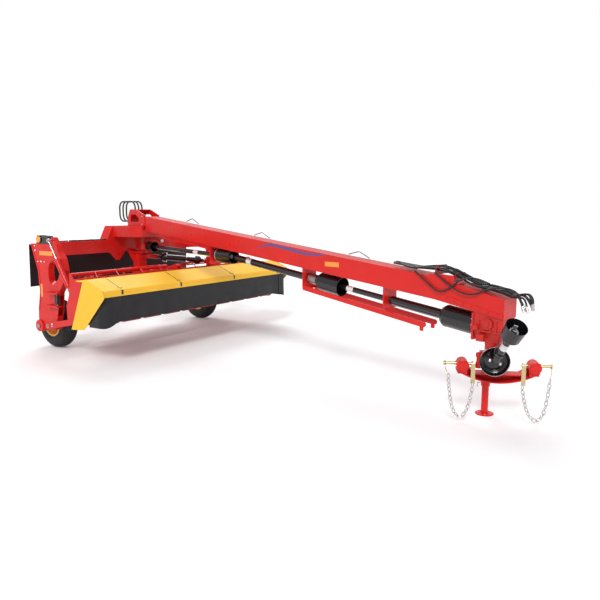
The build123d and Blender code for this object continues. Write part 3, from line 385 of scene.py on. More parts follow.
def chain(name, path, wire, length, width, look, body, ring_steps=18, wire_steps=7):
    """Welded chain along a path.

    Each link is an oval ring: centre line (width cos t, length sin t), swept by a circle of
    the wire's radius. Links sit at even steps of the path's length and every second one is
    turned a quarter.
    """
    steps = np.concatenate([[0], np.cumsum(np.linalg.norm(np.diff(path, axis=0), axis=1))])
    pitch = 2 * (length - 1.15 * wire)
    count = int(steps[-1] / pitch)
    middles = (np.arange(count) + 0.5) * steps[-1] / count
    centres = np.stack([np.interp(middles, steps, path[:, axis]) for axis in range(3)], -1)
    way = unit(np.gradient(centres, axis=0))
    side = unit(np.cross(way, (0.3, 0.9, 0.1)))
    other = np.cross(way, side)
    odd = (np.arange(count) % 2 == 1)[:, None]
    first, second = np.where(odd, other, side), np.where(odd, -side, other)
    t, p = even(ring_steps), even(wire_steps)
    normal = unit(np.stack([np.cos(t) * length, np.sin(t) * width], -1))
    flat = np.stack([width * np.cos(t), length * np.sin(t)], -1)
    ring = flat[:, None] + wire * normal[:, None] * np.cos(p)[None, :, None]
    lift = np.broadcast_to(wire * np.sin(p), ring.shape[:2])
    shape = np.stack([ring[..., 0], lift, ring[..., 1]], -1).reshape(-1, 3)
    faces = grid_faces(ring_steps, wire_steps, True, True)
    return repeated(name, shape, faces, centres, np.stack([first, second, way], 1), look, body,
                    True)


def slab(name, corners, thickness, look, body, bevel=0.0):
    """A flat plate from its outline and thickness, with its edges rounded by a bevel."""
    corners = np.asarray(corners, float)
    normal = unit(np.cross(corners[1] - corners[0], corners[2] - corners[1]))
    count = len(corners)
    points = np.concatenate([corners, corners + normal * thickness])
    faces = [list(range(count))[::-1], list(range(count, 2 * count))]
    faces += [[i, (i + 1) % count, count + (i + 1) % count, count + i] for i in range(count)]
    thing = piece(name, points, faces, look, body, False)
    if bevel:
        rounding = thing.modifiers.new("rounding", "BEVEL")
        rounding.width = bevel
        rounding.segments = 2
    return thing


def bar(name, centre, size, axes, look, body, bevel=0.002):
    """A bar with rounded edges: its centre plus and minus half its size on each axis."""
    corners = 0.5 * np.array([(-1, -1, -1), (1, -1, -1), (1, 1, -1), (-1, 1, -1)]) * size
    return slab(name, corners @ np.asarray(axes) + centre, size[2], look, body, bevel)


def block(name, centre, size, frame_of, look, body, bevel=0.003):
    """A bar square to one of the three frames, with its centre given in that frame."""
    axes = [along(frame_of, axis) for axis in np.eye(3)]
    return bar(name, frame_of(centre), size, axes, look, body, bevel)


def ribbon(name, line, section, frame_of, look, body):
    """A closed strip: (x, y step, z step) corners carried along a line of (y, z) points."""
    rows = [np.stack(np.broadcast_arrays(x, line[:, 0] + y_step, line[:, 1] + z_step), -1)
            for x, y_step, z_step in section]
    points = frame_of(np.stack(rows, 1))
    return piece(name, points, capped(len(line), len(section)), look, body, False)


def square(face, low, high):
    """Outline of an upright rectangle on the plane x = face, seen from the right."""
    (y0, z0), (y1, z1) = low, high
    return [(face, y0, z0), (face, y1, z0), (face, y1, z1), (face, y0, z1)]


# ---- floor, light and camera
WHITE = (1, 1, 1, 1)
FLOOR_COLOUR, FLOOR_GLOW, FLOOR_HALF = (0.9, 0.885, 0.89, 1), 0.1, 90.0
SKY_COLOUR, SKY_POWER = (0.97, 0.98, 1.0, 1), 0.6


def floor():
    """A wide pale floor that takes the shadows, with a faint glow for camera rays alone."""
    material = bpy.data.materials.new("studio_floor")
    material.use_nodes = True
    tree = material.node_tree
    shader = fill(tree, tree.nodes["Principled BSDF"],
                  {"Base Color": FLOOR_COLOUR, "Roughness": 0.9, "Specular IOR Level": 0.1})
    camera_ray = add_node(tree, "LightPath", {}).outputs["Is Camera Ray"]
    seen = add_node(tree, "Math", {0: camera_ray, 1: FLOOR_GLOW}, operation="MULTIPLY")
    glow = add_node(tree, "Emission", {"Color": WHITE, "Strength": seen.outputs["Value"]})
    both = add_node(tree, "AddShader", {0: shader.outputs["BSDF"], 1: glow.outputs["Emission"]})
    fill(tree, tree.nodes["Material Output"], {"Surface": both.outputs["Shader"]})
    corners = FLOOR_HALF * np.array([(-1, -1, 0), (1, -1, 0), (1, 1, 0), (-1, 1, 0)])
    mesh_object("studio_floor", corners, [[0, 1, 2, 3]], material)


def surround():
    """Soft light from all round, which camera rays see as plain white."""
    world = bpy.data.worlds.new("studio")
    bpy.context.scene.world = world
    world.use_nodes = True
    tree = world.node_tree
    light = fill(tree, tree.nodes["Background"], {"Color": SKY_COLOUR, "Strength": SKY_POWER})
    white = add_node(tree, "Background", {"Color": WHITE, "Strength": 1.0})
    camera_ray = add_node(tree, "LightPath", {}).outputs["Is Camera Ray"]
    pick = add_node(tree, "MixShader", {"Fac": camera_ray, 1: light.outputs["Background"],
                                        2: white.outputs["Background"]})
    fill(tree, tree.nodes["World Output"], {"Surface": pick.outputs["Shader"]})


def lamp(name, place, aim, spread, power):
    """A distant soft light that shines from a place towards its aim; spread is in degrees."""
    light = bpy.data.lights.new(name, "SUN")
    light.angle = math.radians(spread)
    light.energy = power
    thing = bpy.data.objects.new(name, light)
    thing.location = machine(place)
    thing.rotation_euler = Vector(np.subtract(place, aim)).to_track_quat("Z", "Y").to_euler()
    bpy.context.scene.collection.objects.link(thing)


floor()
surround()
lamp("key_light", (9.0, 6.5, 8.5), (0.5, 2.5, 0.9), 16.0, 1.65)
lamp("back_light", (-4.0, -2.0, 8.0), (0.8, 3.4, 0.6), 32.0, 1.25)

camera = bpy.data.objects.new("view", bpy.data.cameras.new("view"))
camera.data.lens = 36.42
camera.data.sensor_width = 36.0
camera.data.clip_end = 300.0
camera.location = machine((7.08, 8.08, 2.06))
camera.rotation_euler = (math.radians(81.76), 0.0, math.radians(-235.74))
bpy.context.scene.collection.objects.link(camera)
bpy.context.scene.camera = camera
bpy.context.scene.view_settings.view_transform = "Standard"

# ---- tyres and rims
AXLE_Y, AXLE_Z, HALF_TRACK = -0.17, 0.38, 1.57
RIM_FACE, NUT_CIRCLE = 0.012, 0.103     # rim's outer face from the tyre's middle; its nuts
TREAD_BLOCKS, TREAD_DEPTH, GROOVE_HALF = 40, 0.01, 0.007
BEAD_HALF, BEAD_RADIUS = 0.11, 0.198


def tyre(side, label):
    """Ribbed flotation tyre.

    Grid of angle and profile. The profile is the section's outline at even steps. The tread
    blocks come from lowering the crown: three zigzag grooves round the tyre, and slanted
    grooves that run out over each shoulder, both as ramps of the distance from the groove's
    middle line. Fine raised rings mark the side walls.
    """
    half = np.array([(0.118, 0.2052), (0.126, 0.255), (0.12, 0.3), (0.106, 0.332),
                     (0.082, 0.356), (0.048, 0.372), (0.0, 0.3795)])
    outline = np.concatenate([half * (-1, 1), half[-2::-1]])
    across, radius = through(outline, 7).T[:, None]
    angle = even(360)[:, None]
    zigzag = 0.008 * (2 / math.pi) * np.arcsin(np.sin(angle * TREAD_BLOCKS))
    groove = np.zeros((len(angle), across.shape[1]))
    for middle in (-0.036, 0.0, 0.036):
        inside = GROOVE_HALF - np.abs(across - middle - zigzag)
        groove = np.maximum(groove, ramp(inside, 0.0, 0.003))
    slant = np.abs(np.sin(0.5 * (angle * TREAD_BLOCKS + np.abs(across) * 26)))
    shoulder = ramp(np.abs(across), 0.058, 0.006) * ramp(radius, 0.318, 0.01)
    groove = np.maximum(groove, ramp(0.2 - slant, 0.0, 0.07) * shoulder)
    depth = TREAD_DEPTH * groove * ramp(radius, 0.312, 0.012)
    rings = sum(0.0022 * np.exp(-((radius - ring) / 0.0022) ** 2)
                for ring in (0.226, 0.243, 0.296))
    across = across + np.sign(across) * rings * (radius < 0.31)
    across = np.hstack([np.broadcast_to(across, groove.shape),
                        np.tile((BEAD_HALF, -BEAD_HALF), (len(angle), 1))])
    radius = np.hstack([radius - depth, np.full((len(angle), 2), BEAD_RADIUS)])
    points = np.stack([HALF_TRACK * side + across, AXLE_Y + radius * np.cos(angle),
                       AXLE_Z + radius * np.sin(angle)], -1)
    faces = grid_faces(*radius.shape, True, True)
    thing = piece("tyre_tread_" + label, machine(points), faces, TYRE_RUBBER,
                  "wheel_" + label, True, 40)
    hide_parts("tyre_" + label)


def wheel_trim(side, label):
    """Wheel nuts and valve on the outside of a rim."""
    face = side * (HALF_TRACK + RIM_FACE)
    nuts = circle((face, AXLE_Y, AXLE_Z), NUT_CIRCLE, even(6), (1, 2))
    bolts("wheel_nuts_" + label, machine(nuts), (side, 0, 0), 0.0125, 0.022, "wheel_" + label)
    stem = [(face + side * out, AXLE_Y + y, AXLE_Z)
            for out, y in ((0.0, 0.128), (0.03, 0.133), (0.055, 0.15))]
    tube("tyre_valve_" + label, machine(through(stem)), 0.0045, STEM_RUBBER,
         "wheel_" + label, 8)


for side, label in SIDES:
    tyre(side, label)
    wheel_trim(side, label)

# ---- crop curtain
LIP_Y, DOOR_HALF, CORNER = 1.5637, 2.046, 0.15      # the hood's lip, half width, corner radius
CURTAIN_REAR = 1.243
SIDE_LENGTH, ARC = LIP_Y - CORNER - CURTAIN_REAR, CORNER * math.pi / 2
CURTAIN_LENGTH = 2 * (SIDE_LENGTH + ARC + DOOR_HALF - CORNER)
CORNER_SHEET, SHEET_OVERLAP = 0.515, 0.06
FRONT_HEM, CORNER_HEM, CORNER_RISE = 0.603, 0.53, 0.073


def curtain_line(start, end):
    """Plan of the curtain between two lengths along it, as evenly spaced points.

    The line runs up the right side, round a quarter circle, across the front, round the
    other quarter circle and back down the left side. It gives each point's length, its
    length from the nearer end, its place and its outward normal.
    """
    s = np.linspace(start, end, max(12, int(abs(end - start) / 0.012)))
    near = np.minimum(s, CURTAIN_LENGTH - s)
    side = np.where(s > CURTAIN_LENGTH / 2, -1, 1)
    turn = np.clip((near - SIDE_LENGTH) / CORNER, 0, math.pi / 2)
    x = DOOR_HALF - CORNER + CORNER * np.cos(turn) - np.clip(near - SIDE_LENGTH - ARC, 0, None)
    y = CURTAIN_REAR + np.minimum(near, SIDE_LENGTH) + CORNER * np.sin(turn)
    normal = np.stack([side * np.cos(turn), np.sin(turn)], -1)
    return s, near, np.stack([side * x, y], -1), normal


def curtain(name, start, end, hem, rise, outward, replaces=None):
    """A hanging rubber sheet.

    Grid of length along the plan line and drop. Each point is the plan line's point, moved
    along its normal by slow ripples that grow as drop to the power 1.5, and lowered from the
    sloping top edge to the hem, which rises towards the front by a smooth step.
    """
    s, near, plan, normal = curtain_line(start, end)
    drop = np.linspace(0, 1, 26)
    top = np.minimum(1.0025 - 0.3623 * (plan[:, 1] - 1.56), 1.108)
    step = ramp(near, 0.27, 0.245)
    bottom = hem + rise * step ** 2 * (3 - 2 * step)
    height = top[:, None] + (bottom - top)[:, None] * drop
    wave = 0.5 * np.sin(s * 9.1 + 0.6) + 0.3 * np.sin(s * 21.7 + 1.9) + 0.2 * np.sin(s * 3.3)
    bead = 0.0016 * np.exp(-((drop - 0.965) / 0.02) ** 2)
    push = outward + 0.0075 * wave[:, None] * np.sqrt(drop) * drop + bead
    places = plan[:, None] + normal[:, None] * push[..., None]
    points = np.concatenate([places, height[..., None]], -1)
    thing = piece(name, machine(points), grid_faces(*height.shape), CURTAIN_RUBBER, "hood_door")
    wall = thing.modifiers.new("thickness", "SOLIDIFY")
    wall.thickness = 0.004
    wall.offset = 0.0
    if replaces:
        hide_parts(replaces)


front_start = CORNER_SHEET - SHEET_OVERLAP
curtain("front_curtain", front_start, CURTAIN_LENGTH - front_start, FRONT_HEM, 0.0, -0.005,
        "door_curtain")
curtain("corner_curtain_right", 0.0, CORNER_SHEET, CORNER_HEM, CORNER_RISE, 0.001)
curtain("corner_curtain_left", CURTAIN_LENGTH, CURTAIN_LENGTH - CORNER_SHEET, CORNER_HEM,
        CORNER_RISE, 0.001)

# ---- hitch
CROSS_SHIFT = -0.041                    # the crossbar's middle, from the swivel axis
PIN_TIP, KNUCKLE, LUG = 0.52, 0.34, 0.238     # their distances from the crossbar's middle
PIN_Z, LUG_FACE, KNUCKLE_FACE = 0.568, 0.0725, 0.0902
LINK = (0.0056, 0.0275, 0.0165)         # a chain link's wire radius, half length, half width
JACK_X, JACK_Y = 0.038, -0.182
HITCH_FRONT = along(hitch, (0, 1, 0))


def hung(start, low, end, y):
    """A slack chain's line: a smooth curve through its ends and the bottom of its loop."""
    (x0, z0), (xl, zl), (x1, z1) = start, low, end
    points = [(x0, y, z0), (x0 + 0.12 * (xl - x0), y, z0 + 0.38 * (zl - z0)),
              (x0 + 0.42 * (xl - x0), y + 0.01, z0 + 0.82 * (zl - z0)), (xl, y + 0.012, zl),
              (x1 + 0.46 * (xl - x1), y + 0.01, z1 + 0.8 * (zl - z1)),
              (x1 + 0.14 * (xl - x1), y, z1 + 0.36 * (zl - z1)), (x1, y, z1)]
    return hitch(through(points, 14))


def pin_trim(side, label):
    """Lynch pin, knob and tether at the tip of one hitch pin."""
    tip = CROSS_SHIFT + side * PIN_TIP
    hole = tip - side * 0.018
    ring = circle((hole, 0.0, PIN_Z), 0.021, even(25), (1, 2))
    ends = [(hole, 0.03, PIN_Z - 0.012), (hole, 0.052, PIN_Z - 0.05)]
    tube("lynch_pin_" + label, hitch(np.concatenate([ring, ends])), 0.0032, GOLD_ZINC,
         "hitch", 8)
    knob = [(0, 0.0205), (0.003, 0.0225), (0.01, 0.0225), (0.013, 0.0205), (0.013, 0.015)]
    lathe("pin_knob_" + label, knob, hitch((tip - side * 0.001, 0, PIN_Z)),
          along(hitch, (-side, 0, 0)), GOLD_ZINC, "hitch", 24)
    hook = [(hole, 0.052, PIN_Z - 0.048), (tip - side * 0.03, 0.078, PIN_Z - 0.066),
            (tip - side * 0.044, 0.096, PIN_Z - 0.096)]
    tube("pin_tether_" + label, hitch(through(hook)), 0.0038, GOLD_ZINC, "hitch", 8)


def chain_lug(side, label):
    """The plate that a safety chain hangs from, with its bolts."""
    x = CROSS_SHIFT + side * LUG
    outline = [(x + out, LUG_FACE, z)
               for out, z in ((-0.02, 0.588), (-0.022, 0.385), (0.022, 0.385), (0.02, 0.588))]
    slab("chain_lug_" + label, hitch(outline), -0.008, GOLD_ZINC, "hitch", 0.002)
    bolts("chain_lug_bolts_" + label, hitch([(x, LUG_FACE + 0.008, z) for z in (0.475, 0.405)]),
          HITCH_FRONT, 0.011, 0.009, "hitch", PLATED)


def knuckle_trim(side, label):
    """The round cap over one pin housing, with four bolts."""
    x = CROSS_SHIFT + side * KNUCKLE
    cap = [(0, 0.059), (0.004, 0.061), (0.012, 0.061), (0.016, 0.055), (0.018, 0.03)]
    lathe("knuckle_cap_" + label, cap, hitch((x, KNUCKLE_FACE, PIN_Z)), HITCH_FRONT, RED,
          "hitch", 40)
    spots = circle((x, KNUCKLE_FACE + 0.0168, PIN_Z), 0.042, even(4, 0.6), (0, 2))
    bolts("knuckle_bolts_" + label, hitch(spots), HITCH_FRONT, 0.008, 0.006, "hitch", ROUGH_RED)


for label, ends in (("right", ((0.435, 0.475), (0.312, 0.055), (0.196, 0.395))),
                    ("left", ((-0.522, 0.465), (-0.405, 0.05), (-0.266, 0.392)))):
    chain("safety_chain_" + label, hung(*ends, 0.098), *LINK, PLATED, "hitch")
for side, label in SIDES:
    pin_trim(side, label)
    chain_lug(side, label)
    knuckle_trim(side, label)

# ---- drive shaft and its guard cone
LEAN, FOLD = math.radians(18.0), math.radians(55.0)      # how the raised shaft leans and folds
DRIVE_BASE = np.array([0.024, 0.275, 0.66])
CROSS_WAY = np.array([math.cos(LEAN), 0.0, math.sin(LEAN)])
DRIVE_WAY = np.array([-math.sin(LEAN) * math.sin(FOLD), math.cos(FOLD),
                      math.cos(LEAN) * math.sin(FOLD)])


def drive_shaft():
    """Label, collar, yoke, cross caps and release bar of the drive shaft, and the cone's rim."""
    start, way = hitch(DRIVE_BASE), along(hitch, DRIVE_WAY)
    band("shaft_label", start, way, 0.196, 0.268, 0.0344, 0.035, DECAL, "pto_drive")
    band("shaft_collar", start, way, 0.108, 0.132, 0.0345, 0.0425, BLACK_PAINT, "pto_drive")
    band("cone_floor", hitch((DRIVE_BASE[0], 0.1815, DRIVE_BASE[2])), HITCH_FRONT, 0, 0.003,
         0.0225, 0.068, BLACK_PLASTIC, "hitch")
    yoke = [(0.383, 0.0275), (0.383, 0.04), (0.404, 0.046), (0.44, 0.046), (0.446, 0.042),
            (0.446, 0.032), (0.409, 0.0275)]
    turned_loop("drive_yoke", yoke, start, way, ZINC, "pto_drive")
    ear_way = np.cross(DRIVE_WAY, CROSS_WAY)
    axes = [along(hitch, axis) for axis in (ear_way, DRIVE_WAY, np.cross(ear_way, DRIVE_WAY))]
    for sign, label in ((1, "near"), (-1, "far")):
        middle = DRIVE_BASE + DRIVE_WAY * 0.462 + sign * 0.037 * ear_way
        bar("yoke_ear_" + label, hitch(middle), (0.012, 0.05, 0.04), axes, ZINC,
            "pto_drive", 0.004)
    cap = [(0, 0.017), (0.016, 0.019), (0.02, 0.017), (0.022, 0.01)]
    for side, label in SIDES:
        lathe("cross_cap_" + label, cap, hitch(DRIVE_BASE + side * 0.0405 * CROSS_WAY),
              along(hitch, side * CROSS_WAY), ZINC, "pto_drive", 20)
    handle = [DRIVE_BASE + DRIVE_WAY * distance + CROSS_WAY * out for distance, out in
              ((0.1, 0.046), (0.16, 0.058), (0.24, 0.06), (0.3, 0.054), (0.33, 0.06),
               (0.335, 0.074))]
    tube("slide_release_bar", hitch(through(handle)), 0.0048, BLACK_PAINT, "pto_drive", 8)
    open_ring = np.linspace(math.radians(20), math.radians(340), 60)
    rim = circle(DRIVE_BASE + (0, 0.0025, 0), 0.1395, open_ring, (0, 2))
    tube("cone_rim", hitch(rim), 0.0022, BARE_STEEL, "hitch", 8)


def jack_trim():
    """Cap, foot bolts and bent locking pin of the parking jack."""
    lathe("jack_cap", [(0, 0.0352), (0.004, 0.038), (0.01, 0.038), (0.014, 0.03)],
          hitch((JACK_X, JACK_Y, 0.508)), UP, BLACK_PLASTIC, "jack", 28)
    spots = circle((JACK_X, JACK_Y, 0.0102), 0.064, even(4), (0, 1))
    bolts("jack_foot_bolts", hitch(spots), UP, 0.009, 0.006, "jack")
    bent = [(x, JACK_Y, z)
            for x, z in ((-0.03, 0.33), (0.106, 0.33), (0.116, 0.318), (0.116, 0.285))]
    tube("jack_pin", hitch(through(bent)), 0.0055, PLATED, "hitch")


drive_shaft()
jack_trim()
for side, label in SIDES:
    spots = [(side * 0.0985, y, z)
             for y, z in ((-0.06, 0.53), (0.06, 0.53), (-0.05, 0.6), (0.05, 0.6))]
    bolts("housing_bolts_" + label, hitch(spots), along(hitch, (side, 0, 0)), 0.01, 0.008,
          "hitch", CASTING)

# ---- front gearbox and tongue nose
TONGUE_FACE, COVER_FACE = 0.1302, 0.1292        # half widths of the tongue and of the gearbox
BEAM_START, BEAM_TOP, BEAM_SLOPE, BEAM_DEPTH = 0.33, 2.023, 0.106, 0.232
NOSE_START, NOSE_LENGTH, NOSE_TOP, NOSE_LOW = 5.86, 0.76, 1.24, 1.044
BOX_REAR, BOX_FACE, WAIST = 6.3, 6.612, 0.905
COVER_Y, COVER_Z = 6.455, 0.985
TONGUE_FRONT = along(tongue, (0, 1, 0))


def beam_top(y):
    """Height of the straight beam's upper face at a distance along the tongue."""
    return BEAM_TOP - BEAM_SLOPE * (y - BEAM_START)


def tongue_top(y):
    """Height of the tongue's upper face, whose nose slopes down more steeply."""
    y = np.asarray(y, float)
    start = beam_top(NOSE_START)
    nose = start + (NOSE_TOP - start) * (y - NOSE_START) / NOSE_LENGTH
    return np.where(y < NOSE_START, beam_top(y), nose)


def tongue_low(y):
    """Height of the tapered nose's lower edge at a distance along the tongue."""
    start = beam_top(NOSE_START) - BEAM_DEPTH
    return start + (NOSE_LOW - start) * (y - NOSE_START) / NOSE_LENGTH


def gearbox_side(side, label):
    """Waist bolts and bearing cover of the gearbox, and the bolted flange of the nose."""
    way = along(tongue, (side, 0, 0))
    rows = [(side * 0.13, y, WAIST + 0.008) for y in np.arange(BOX_REAR + 0.03, BOX_FACE, 0.055)]
    bolts("waist_bolts_" + label, tongue(rows), way, 0.009, 0.008, "tongue", CASTING)
    cover = [(0, 0.056), (0.008, 0.056), (0.011, 0.05), (0.012, 0.026), (0.019, 0.024)]
    lathe("bearing_cover_" + label, cover, tongue((side * COVER_FACE, COVER_Y, COVER_Z)), way,
          CASTING, "tongue", 36)
    spots = circle((side * (COVER_FACE + 0.0083), COVER_Y, COVER_Z), 0.043, even(6), (1, 2))
    bolts("cover_bolts_" + label, tongue(spots), way, 0.007, 0.006, "tongue", CASTING)
    flange = [(side * TONGUE_FACE, y, tongue_low(y) + up) for y, up in
              ((5.96, 0.003), (BOX_FACE, 0.003), (BOX_FACE, 0.046), (5.96, 0.046))]
    slab("nose_flange_" + label, tongue(flange), side * 0.005, RED, "tongue", 0.0012)
    spots = [(side * 0.135, y, tongue_low(y) + 0.024) for y in np.arange(6.0, 6.6, 0.092)]
    bolts("nose_bolts_" + label, tongue(spots), way, 0.01, 0.008, "tongue", CASTING)


def gearbox_ends():
    """Bolts on the gearbox's two ends, its filter, valve lump and filler plug."""
    spots = [(x, BOX_FACE + 0.0005, z) for x in (-0.095, 0.095) for z in (0.945, 1.005)]
    bolts("face_bolts", tongue(spots), TONGUE_FRONT, 0.01, 0.008, "tongue")
    spots = [(x, 6.2858, z) for x in (0.1152, -0.1152) for z in (0.84, 0.88, 0.96, 1.02)]
    bolts("neck_bolts", tongue(spots), -TONGUE_FRONT, 0.01, 0.008, "tongue")
    for name, centre, size in (
            ("oil_filter_housing", (0.15, 6.4, 0.85), (0.05, 0.08, 0.07)),
            ("valve_lump_upper", (0.146, 6.34, 0.945), (0.03, 0.05, 0.05))):
        block(name, centre, size, tongue, CASTING, "tongue", 0.008)
    lathe("filler_plug", [(0, 0.016), (0.012, 0.016), (0.014, 0.012), (0.024, 0.012)],
          tongue((0.0, BOX_FACE + 0.0005, 1.0)), TONGUE_FRONT, BLACK_PLASTIC, "tongue", 20)


for side, label in SIDES:
    gearbox_side(side, label)
gearbox_ends()

# ---- hoses on the tongue
SUPPLY_HOSES = (    # place across, where it leaves the beam, extra lift, dip, reach past nose
    (-0.085, 5.22, 0.012, 0.01, -0.01), (-0.052, 5.3, 0.04, -0.012, 0.03),
    (-0.02, 5.24, 0.02, 0.016, 0.015), (0.015, 5.36, 0.052, -0.004, 0.05),
    (0.048, 5.28, 0.026, 0.02, -0.02), (0.08, 5.44, 0.01, 0.004, 0.035),
    (0.102, 5.5, 0.03, 0.012, 0.0))
HOSE_REST = 0.0105                      # a resting hose's middle above the tongue


def supply_hose(x, begin, lift, dip, reach):
    """One hose along the nose, over its two guides and down past the nose's end."""
    y = np.array([begin, begin + 0.12, 5.6, 5.86, 5.98, 6.12, 6.28, 6.44, 6.58, 6.67])
    wide = np.array([1.0, 1.0, 1.0, 1.05, 1.2, 0.9, 1.35, 0.8, 1.1, 0.9])
    up = np.array([HOSE_REST, HOSE_REST, 0.012, 0.03, 0.042, 0.03, 0.016, 0.024, 0.034, 0.028])
    up += lift * np.array([0, 0, 0.2, 0.9, 1.0, 0.9, 0.5, 0.8, 0.9, 0.7])
    up += dip * np.array([0, 0, 0, 0, 1.0, 0.2, 0.5, -0.3, 0.6, 1.0])
    line = np.stack([x * wide, y, tongue_top(y) + np.maximum(up, HOSE_REST)], -1)
    tail = [(x * 0.95 + dip, 6.735 + reach, 1.262 + lift * 0.7),
            (x * 1.1 + dip, 6.775 + reach, 1.226 + lift * 0.5),
            (x * 1.25 + dip, 6.79 + reach + dip, 1.176 + lift * 0.4)]
    return tongue(through(np.concatenate([line, tail]), 6))


def hose_guide(y, height):
    """A plate across the nose with its upper corners cut off."""
    top = float(tongue_top(y))
    outline = [(x, y, top + up) for x, up in
               ((-0.115, -0.012), (0.128, -0.012), (0.128, height * 0.6), (0.085, height),
                (-0.085, height), (-0.115, height * 0.6))]
    slab("hose_guide_%d" % int(y * 100), tongue(outline), 0.006, DEEP_RED, "tongue", 0.0015)


def hose_wire(number, y, height):
    """A bent wire loop that holds hoses down along the beam."""
    span = np.array([-0.15, -0.14, -0.02, 0.0, 0.02, 0.14, 0.15])
    rise = np.array([-0.004, 0.004, height * 0.93, height, height * 0.93, 0.004, -0.004])
    line = np.stack([np.zeros(7), y + span, tongue_top(y + span) + rise], -1)
    tube("hose_wire_%d" % number, tongue(through(line, 5)), 0.0075, BARE_STEEL, "tongue", 8)


hoses = [supply_hose(*row) for row in SUPPLY_HOSES]
tubes("supply_hoses", hoses, 0.0095, HOSE_RUBBER, "tongue")
coupler = [(-0.012, 0.0115), (0.004, 0.0115), (0.005, 0.0145), (0.022, 0.0145), (0.023, 0.0105),
           (0.046, 0.0105)]
for number, path in enumerate(hoses, 1):
    lathe("hose_coupler_%d" % number, coupler, path[-1], path[-1] - path[-2], PLATED, "tongue",
          16)
side_loops = (
    [(0.148, 5.62, 1.455), (0.156, 5.78, 1.345), (0.16, 5.92, 1.262), (0.158, 6.04, 1.3),
     (0.15, 6.16, 1.392), (0.12, 6.3, 1.42), (0.08, 6.44, 1.375)],
    [(0.146, 5.86, 1.452), (0.158, 6.02, 1.352), (0.164, 6.18, 1.275), (0.162, 6.32, 1.27),
     (0.154, 6.46, 1.33), (0.12, 6.6, 1.35), (0.095, 6.7, 1.325), (0.095, 6.77, 1.262)])
tubes("side_hoses", [tongue(through(path, 7)) for path in side_loops], 0.0085, HOSE_RUBBER,
      "tongue")
hose_guide(5.86, 0.085)
hose_guide(6.08, 0.075)
block("hose_valve", (0.02, 6.385, float(tongue_top(6.385)) + 0.027), (0.09, 0.07, 0.052),
      tongue, BLACK_PAINT, "tongue", 0.004)
for number, (y, height) in enumerate(((1.474, 0.056), (3.063, 0.052), (4.75, 0.05)), 1):
    hose_wire(number, y, height)


# ---- tongue sides and head
def side_stripe():
    """A wavy painted stripe on the tongue's right side.

    Its middle line runs through points given by distance along the tongue and share of the
    beam's depth below its top, and its width swells and dies away like a sine.
    """
    marks = through([(3.12, 0.62), (3.24, 0.4), (3.42, 0.27), (3.7, 0.3), (4.0, 0.34),
                     (4.24, 0.27), (4.32, 0.2)])
    middle = tongue_top(marks[:, 0]) - BEAM_DEPTH * marks[:, 1]
    half = 0.003 + 0.017 * np.sin(np.linspace(0, math.pi, len(marks)))
    inner, outer = TONGUE_FACE, TONGUE_FACE + 0.001
    section = [(inner, 0, -half), (inner, 0, half), (outer, 0, half), (outer, 0, -half)]
    ribbon("side_stripe", np.stack([marks[:, 0], middle], -1), section, tongue, STRIPE, "tongue")


side_stripe()
for name, face in (("side_reflector", TONGUE_FACE), ("side_reflector_left", -0.1342)):
    slab(name, tongue(square(face, (4.335, 1.418), (4.557, 1.474))), 0.004, REFLECTOR, "tongue",
         0.001)
for side, label in SIDES:
    spots = [(side * 0.1422, y, z) for y, z in
             ((-0.16, 1.86), (-0.16, 1.78), (0.26, 1.99), (0.26, 1.86), (0.1, 1.8))]
    bolts("head_bolts_" + label, tongue(spots), along(tongue, (side, 0, 0)), 0.013, 0.01,
          "tongue")
lathe("swivel_nut", [(0, 0.052), (0.016, 0.052), (0.02, 0.046), (0.021, 0.03), (0.034, 0.028)],
      tongue((0, 0, 1.8405)), UP, BARE_STEEL, "tongue", 6, 20)

# the hydraulic motor on the swivel housing's side
MOTOR_X, MOTOR_Y = 0.142, 0.03
motor = [(0, 0.024), (0.006, 0.03), (0.06, 0.03), (0.064, 0.022), (0.11, 0.022),
         (0.114, 0.03), (0.15, 0.03), (0.156, 0.02)]
lathe("turn_motor", motor, hitch((MOTOR_X, MOTOR_Y, 0.535)), UP, CASTING, "hitch", 28)
for number, (z, deep) in enumerate(((0.56, 0.06), (0.64, 0.046), (0.7, 0.056)), 1):
    block("motor_bracket_%d" % number, (MOTOR_X - 0.03, MOTOR_Y, z), (0.05, deep, 0.022), hitch,
          CASTING, "hitch", 0.004)

# ---- driveline under the tongue
SHAFT_LINES = np.array([((0, 0.205, 1.492), (0, 2.405, 1.428)),
                        ((0, 2.47, 1.424), (0, 4.205, 1.208)),
                        ((0, 4.29, 1.2), (0, 6.17, 0.966))])
SHAFT_BODIES = ("driveline_rear", "driveline_middle", "driveline_front")


def shaft_point(index, y):
    """A point of one shaft's axis, in the tongue's frame, at a distance along the tongue."""
    start, end = SHAFT_LINES[index]
    return start + (end - start) * (y - start[1]) / (end[1] - start[1])


def on_shaft(index, y):
    """The same point in the part's frame, and the shaft's direction."""
    start, end = SHAFT_LINES[index]
    return tongue(shaft_point(index, y)), along(tongue, unit(end - start))


